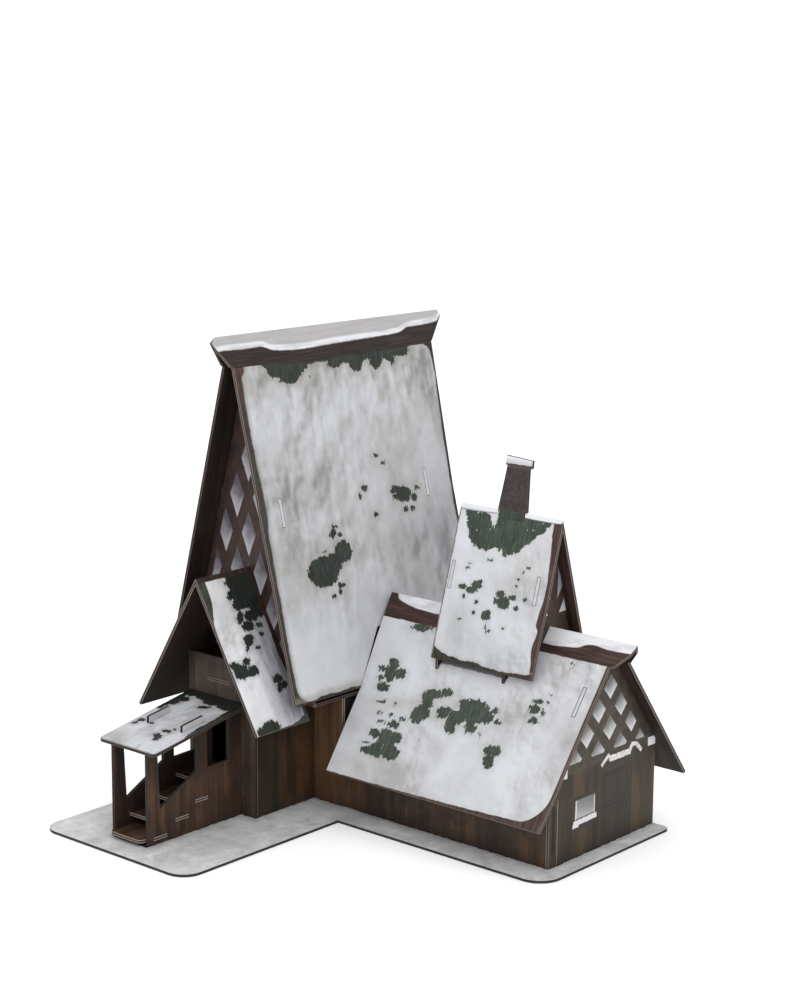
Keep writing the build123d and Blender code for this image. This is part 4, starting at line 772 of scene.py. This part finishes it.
def print_brick():
    g = G("brick_print")
    u, v = g.u, g.v
    bt = g.t.nodes.new("ShaderNodeTexBrick")
    g.put(bt.inputs["Vector"], g.vec(u, v, 0.0))
    bt.inputs["Scale"].default_value = 1.0
    bt.inputs["Brick Width"].default_value = 2.3
    bt.inputs["Row Height"].default_value = 1.15
    bt.inputs["Mortar Size"].default_value = 0.12
    bt.inputs["Mortar Smooth"].default_value = 0.35
    bt.inputs["Color1"].default_value = lin((68, 59, 59))
    bt.inputs["Color2"].default_value = lin((48, 40, 41))
    bt.inputs["Mortar"].default_value = lin((32, 27, 28))
    soot = g.noise(g.p, 0.35, 4.0, 0.7)
    col = g.mix(g.step(soot, 0.42, 0.62) * 0.55, bt.outputs["Color"], (78, 68, 67))
    col = g.mix(g.step(g.noise(g.p, 1.2, 3.0, 0.6), 0.5, 0.7) * 0.5, col, (44, 37, 38))
    q = g.wobble(g.p, 0.4, 0.9, 2.0, 2.0)
    n = g.t.nodes.new("ShaderNodeSeparateXYZ")
    g.put(n.inputs[0], q)
    cap = F(g, n.outputs[1]) - (175.1 + 0.0)
    col = g.mix(g.step(g.v, 172.9, 173.4), col, (74, 65, 63))
    col = g.mix(g.step(cap, -0.2, 0.2), col, g.mix(g.step(g.v, 176.0, 178.0), (196, 197, 201), (222, 223, 227)))
    col = g.mix(g.step(g.v, 152.9, 152.3), col, thatch(g, dark=(34, 42, 35), mid=(54, 65, 55), light=(82, 94, 80)))
    col = g.mix(g.step(g.v, 147.4, 146.9), col, (58, 48, 43))
    return g.done(col, rough=0.66)


def print_base():
    g = G("base_print")
    a = g.noise(g.p, 1.0, 4.0, 0.6, stretch=(0.045, 0.05), off=3.0, dist=1.0)
    c = g.noise(g.p, 1.0, 3.0, 0.6, stretch=(0.22, 0.25), off=8.0, dist=0.6)
    f = a * 0.68 + c * 0.32
    f = f + relief(g, (0.06, 0.09), (2.0, 1.0), 14.0) * 0.25
    col = g.ramp(f, [(0.32, (172, 172, 172)), (0.44, (193, 194, 194)), (0.54, (208, 209, 210)), (0.66, (224, 225, 227))])
    q = g.wobble(g.p, 0.45, 2.6, 6.0, 3.0)
    n = g.t.nodes.new("ShaderNodeSeparateXYZ")
    g.put(n.inputs[0], q)
    x, y = F(g, n.outputs[0]), F(g, n.outputs[1])
    d = None
    for x0, y0, x1, y1 in ((16.3, -113.6, 98.5, -0.6), (16.3, 12.3, 100.9, 93.9), (-24.8, 30.8, 16.3, 75.5), (-86.0, 40.2, -24.8, 64.7)):
        e = g.mx((x - (x0 + x1) / 2).abs() - (x1 - x0) / 2, (y - (y0 + y1) / 2).abs() - (y1 - y0) / 2)
        d = e if d is None else g.mn(d, e)
    # painted shade: a soft grey band on the base round the walls' footprint, where they stand on it
    col = g.mix(g.step(d, 4.5, 0.3) * 0.3, col, (120, 116, 112))
    col = g.mix(g.step(d, 0.55, 0.15), col, (44, 38, 34))
    return g.done(col, rough=0.66)


def print_tread():
    g = G("tread_print")
    col = planks(g, width=3.4, seed=2.0, horiz=True, dark=(38, 26, 17), mid=(62, 44, 29), light=(86, 63, 41), gold=(100, 74, 46), gold_amt=0.5)
    return g.done(col, rough=0.6)


def plain_card(name="card_back"):
    g = G(name)
    a = g.noise(g.p, 1.0, 4.0, 0.6, stretch=(0.4, 0.4), off=3.0)
    col = g.ramp(a, [(0.35, (128, 118, 108)), (0.65, (150, 140, 130))])
    return g.done(col, rough=0.8)


# ---- panel frames, in site millimetres ------------------------------------
class Pan:
    def __init__(self, o, u, v, n):
        self.o, self.u, self.v, self.n = (Vector(x) for x in (o, u, v, n))

    def coords(self, co):
        d = Vector(co) * 1000.0 + SITE - self.o
        return d.dot(self.u), d.dot(self.v), -d.dot(self.n)


def slope(axis, mid, top, half, eave, sgn):
    ln = math.hypot(half, top - eave)
    a, b = half / ln, (top - eave) / ln
    if axis == "x":
        return Pan((0, mid, top), (1, 0, 0), (0, sgn * a, -b), (0, sgn * b, a))
    return Pan((mid, 0, top), (0, 1, 0), (sgn * a, 0, -b), (sgn * b, 0, a))


def wall_x(x, sgn):
    return Pan((x, 0, 0), (0, 1, 0), (0, 0, 1), (sgn, 0, 0))


def wall_y(y, sgn):
    return Pan((0, y, 0), (1, 0, 0), (0, 0, 1), (0, sgn, 0))


def flat(z, sgn=1):
    return Pan((0, 0, z), (1, 0, 0), (0, 1, 0), (0, 0, sgn))


hall_f = slope("x", 53.16, 231.88, 44.09, 60.28, -1)
hall_r = slope("x", 53.16, 231.88, 44.09, 60.28, 1)
ent_f = slope("x", 53.16, 119.1, 40.68, 50.45, -1)
ent_r = slope("x", 53.16, 119.1, 40.68, 50.45, 1)
wing_l = slope("y", 57.4, 101.13, 57.88, 25.32, -1)
wing_r = slope("y", 57.4, 101.13, 57.88, 25.32, 1)
dor_l = slope("y", 57.4, 152.45, 21.78, 80.37, -1)
dor_r = slope("y", 57.4, 152.45, 21.78, 80.37, 1)
pl = math.hypot(61.5, 9.9)
porch_p = Pan((-86.5, 0, 48.0), (61.5 / pl, 0, 9.9 / pl), (0, 1, 0), (-9.9 / pl, 0, 61.5 / pl))

M = {}
M["edge"] = card_edge()
M["edge_dark"] = card_edge("card_edge_dark", skin=(84, 74, 68), core=(42, 34, 31))
M["edge_wall"] = card_edge("card_edge_wall", skin=(62, 52, 47), core=(32, 25, 22))
M["edge_light"] = card_edge("card_edge_light", skin=(158, 149, 143), core=(66, 56, 51))
M["edge_base"] = card_edge("card_edge_base", skin=(58, 55, 54), core=(40, 37, 36))
M["tip"] = snow_card("tab_end")
M["tab"] = snow_card("porch_tab", (190, 190, 193))
M["inner"] = dark_inner()
# painted light: a lighter copy of the inner planks, for the inner faces that catch more light
M["inner_lit"] = dark_inner("inner_planks_lit", 1.35)
M["hall_f"] = print_hall("hall_roof_print", HF_TH, None)
M["hall_r"] = print_hall("hall_roof_rear_print", HF_TH, 103.0)
M["wing_l"] = print_wing("wing_roof_print", WL_TH, None)
M["wing_r"] = print_wing("wing_roof_right_print", WL_TH, -112.0)
M["dor_l"] = print_dormer("dormer_roof_print", DL_TH, None)
M["dor_r"] = print_dormer("dormer_roof_right_print", DL_TH, -113.7)
M["ent_f"] = print_entry("entry_roof_print", ER_TH, False)
M["ent_r"] = print_entry("entry_roof_left_print", [(a - 2.0, 84.0 - b if b > 30 else b, c, d, -e) for a, b, c, d, e in ER_TH], True)
M["porch"] = print_porch_roof()
M["gable_h"] = print_hall_gable()
M["gable_w"] = print_wing_gable()
M["gable_d"] = print_dormer_gable()
M["brick"] = print_brick()
M["base"] = print_base()
M["tread"] = print_tread()
M["back"] = plain_card()
M["wall"] = plank_wall("wall_planks", 1.0, mottle=0.15, dark=(44, 31, 21), mid=(74, 53, 35), light=(100, 72, 45), gold=(116, 82, 46))
M["wall_e"] = plank_wall("entry_planks", 5.0, shade_top=(26.0, 52.0, 0.6))
M["wall_s"] = plank_wall("shaded_planks", 31.0, mottle=0.2, shade_u=(62.0, 24.0, 0.85))
# wing wall: its darker planks are painted shade under the wing roof, and the brighter copy past site y = 2 is painted
# light
M["wall_w"] = plank_wall("wing_planks", 25.0, lit_span=(-4.0, 2.0), mottle=0.6, dark=(34, 25, 20), mid=(56, 41, 32), light=(78, 58, 44), gold_amt=0.25)
M["wall_p"] = plank_wall("porch_planks", 9.0, shade_top=(24.0, 40.0, 0.6), dark=(36, 24, 19), mid=(64, 44, 32), light=(88, 62, 42), gold=(104, 73, 45), gold_amt=0.5)
M["wall_a"] = plank_wall("attic_planks", 15.0, shade_top=(66.0, 80.0, 0.5), dark=(44, 35, 30), mid=(66, 54, 46), light=(88, 74, 62), gold=(96, 80, 64), gold_amt=0.5)
M["rib"] = plank_wall("rib_planks", 21.0, dark=(30, 19, 16), mid=(50, 32, 27), light=(70, 46, 38), gold_amt=0.1)

# node: panel, outer print, inner print, edge
BOARDS = {
    "base_plate": (flat(2.0), "base", "back", "edge_base"),
    "hall_gable_front": (wall_x(-5.8, -1), "gable_h", "inner", "edge"),
    "hall_gable_rear": (wall_x(100.9, 1), "gable_h", "inner", "edge"),
    "hall_floor": (flat(58.6), "inner", "inner", "edge_dark"),
    "hall_wall_right": (wall_y(12.33, -1), "wall_s", "inner", "edge_light"),
    "hall_wall_left": (wall_y(93.9, 1), "wall", "inner", "edge_wall"),
    "hall_wall_front": (wall_x(16.32, -1), "wall", "inner", "edge_wall"),
    "hall_roof_front": (hall_f, "hall_f", "inner", "edge"),
    "hall_roof_rear": (hall_r, "hall_r", "inner", "edge_dark"),
    "entry_front_wall": (wall_x(-24.84, -1), "wall_a", "inner", "edge_wall"),
    "entry_wall_right": (wall_y(30.84, -1), "wall_e", "inner", "edge_light"),
    "entry_wall_left": (wall_y(75.5, 1), "wall_e", "inner", "edge_wall"),
    "entry_attic_floor": (flat(66.3), "inner", "inner", "edge"),
    "entry_roof_right": (ent_f, "ent_f", "inner", "edge"),
    "entry_roof_left": (ent_r, "ent_r", "inner_lit", "edge"),
    "porch_side_right": (wall_y(40.2, -1), "wall_p", "inner_lit", "edge_wall"),
    "porch_side_left": (wall_y(64.7, 1), "wall_p", "inner_lit", "edge_wall"),
    "stair_tread_1": (flat(5.5), "tread", "inner", "edge_light"),
    "stair_tread_2": (flat(11.3), "tread", "inner", "edge_light"),
    "stair_tread_3": (flat(17.1), "tread", "inner", "edge_light"),
    "stair_landing": (flat(23.0), "tread", "inner", "edge_light"),
    "wing_wall_left": (wall_x(16.32, -1), "wall_w", "inner", "edge_light"),
    "wing_wall_right": (wall_x(98.48, 1), "wall", "inner", "edge_wall"),
    "wing_end_gable": (wall_y(-113.58, -1), "gable_w", "inner", "edge"),
    "wing_inner_gable": (wall_y(-0.6, -1), "wall", "inner", "edge_wall"),
    "wing_roof_left": (wing_l, "wing_l", "inner", "edge"),
    "wing_roof_right": (wing_r, "wing_r", "inner_lit", "edge"),
    "dormer_gable_rear": (wall_y(-28.4, 1), "gable_d", "inner", "edge"),
    "dormer_gable_front": (wall_y(-80.8, -1), "gable_d", "inner", "edge"),
    "dormer_inner_rib": (wall_y(-69.9, -1), "rib", "rib", "edge_dark"),
    "dormer_roof_left": (dor_l, "dor_l", "inner", "edge"),
    "dormer_roof_right": (dor_r, "dor_r", "inner_lit", "edge"),
    "chimney": (wall_x(56.6, -1), "brick", "brick", "edge_dark"),
    "porch_roof": (porch_p, "porch", "inner", "edge_dark"),
}

slots = {s["node"]: s["material_slot"] for s in frame["record"]["subparts"]} if frame["record"].get("subparts") else {}


# roof planes through which each board's tabs come up
TIPS = {
    "hall_gable_front": (hall_f, hall_r), "hall_gable_rear": (hall_f, hall_r),
    "wing_end_gable": (wing_l, wing_r), "wing_inner_gable": (wing_l, wing_r),
    "dormer_gable_rear": (dor_l, dor_r), "dormer_gable_front": (dor_l, dor_r),
}
PROUD = ("porch_side_right", "porch_side_left")
WALLS = ("wall", "wall_s", "wall_e", "wall_w", "wall_p", "wall_a")


def build(node, pan, outer, inner, edge):
    src = frame["nodes"][node]
    bm = bmesh.new()
    bm.from_mesh(src.data)
    bmesh.ops.remove_doubles(bm, verts=bm.verts, dist=2e-6)
    bmesh.ops.dissolve_limit(bm, angle_limit=math.radians(1.5), verts=bm.verts, edges=bm.edges, delimit=set())
    sharp = [e for e in bm.edges if len(e.link_faces) == 2 and e.calc_face_angle(0) > math.radians(35)]
    bmesh.ops.bevel(bm, geom=sharp, offset=0.00009, offset_type="OFFSET", segments=2, profile=0.6, affect="EDGES", clamp_overlap=True)
    bmesh.ops.triangulate(bm, faces=[f for f in bm.faces if len(f.verts) > 4])
    if node in PROUD:
        co = (porch_p.o - SITE) / 1000.0
        bmesh.ops.bisect_plane(bm, geom=bm.verts[:] + bm.edges[:] + bm.faces[:], dist=1e-7, plane_co=co, plane_no=porch_p.n)
    mesh = bpy.data.meshes.new(node + "_board")
    top = "edge_wall" if outer in WALLS else edge
    for f in bm.faces:
        d = f.normal.dot(pan.n)
        f.material_index = 0 if d > 0.8 else (1 if d < -0.8 else 2)
        if f.material_index == 2 and f.normal.z > 0.7:
            f.material_index = 3
        for q in TIPS.get(node, ()):
            if f.material_index > 1 and max(abs(q.coords(v.co)[2]) for v in f.verts) < 0.3:
                f.material_index = 4
        if node in PROUD and porch_p.coords(f.calc_center_median())[2] < -0.02:
            f.material_index = 4 if abs(d) > 0.8 else 3
        f.smooth = False
    bm.to_mesh(mesh)
    bm.free()
    at = mesh.attributes.new("puv", "FLOAT_VECTOR", "POINT")
    flatlist = []
    for v in mesh.vertices:
        flatlist.extend(pan.coords(v.co))
    at.data.foreach_set("vector", flatlist)
    for k in (outer, inner, edge, top, "tab" if node in PROUD else "tip"):
        mesh.materials.append(M[k])
    ob = bpy.data.objects.new(node + "_board", mesh)
    scene.collection.objects.link(ob)
    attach(ob, body_of[node])
    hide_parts(node)
    node in slots
    return ob


for node, spec in BOARDS.items():
    build(node, *spec)

# ---- floor, light and camera ----------------------------------------------
g = G("studio_floor")
fine = g.t.nodes.new("ShaderNodeTexCoord")
n = g.noise(fine.outputs["Object"], 3.0, 2.0)
mat = g.done(g.ramp(n, [(0.3, (249, 249, 250)), (0.7, (251, 251, 251))]), rough=0.9, grain=0)
g.b.inputs["Emission Color"].default_value = (1.0, 1.0, 1.0, 1.0)
g.b.inputs["Emission Strength"].default_value = 0.22
bpy.ops.mesh.primitive_grid_add(x_subdivisions=8, y_subdivisions=8, size=24, location=(0, 0, -0.0002))
floor = bpy.context.object
floor.name = "studio_floor"
floor.data.materials.append(mat)

world = bpy.data.worlds.new("studio")
world.use_nodes = True
world.node_tree.nodes["Background"].inputs[0].default_value = (1.0, 1.0, 1.0, 1)
world.node_tree.nodes["Background"].inputs[1].default_value = 1.0
scene.world = world


def area(name, loc, target, size, power, color=(1, 1, 1)):
    data = bpy.data.lights.new(name, "AREA")
    data.shape = "DISK"
    data.size = size
    data.energy = power
    data.color = color
    ob = bpy.data.objects.new(name, data)
    scene.collection.objects.link(ob)
    ob.location = loc
    ob.rotation_euler = (Vector(target) - Vector(loc)).to_track_quat("-Z", "Y").to_euler()
    return ob


area("key", (-1.1, -1.5, 1.7), (0, 0, 0.08), 1.2, 9.0)
area("fill", (-1.9, 0.6, 1.0), (0, 0, 0.08), 1.2, 3.0)

cam_data = bpy.data.cameras.new("camera")
cam = bpy.data.objects.new("camera", cam_data)
scene.collection.objects.link(cam)
right = Vector((0.656881, -0.753954, 0.007815))
up = Vector((0.145717, 0.137111, 0.979779))
back = Vector((-0.73978, -0.64246, 0.199929))
rot = Matrix((right, up, back)).transposed().to_4x4()
cam.matrix_world = Matrix.Translation((Vector((-727.720, -669.316, 360.321)) - SITE) / 1000.0) @ rot
cam_data.sensor_width = 36.0
cam_data.lens = 36.0 * 2176.342 / 999.0
cam_data.clip_start, cam_data.clip_end = 0.01, 60.0
scene.camera = cam

bpy.context.view_layer.update()
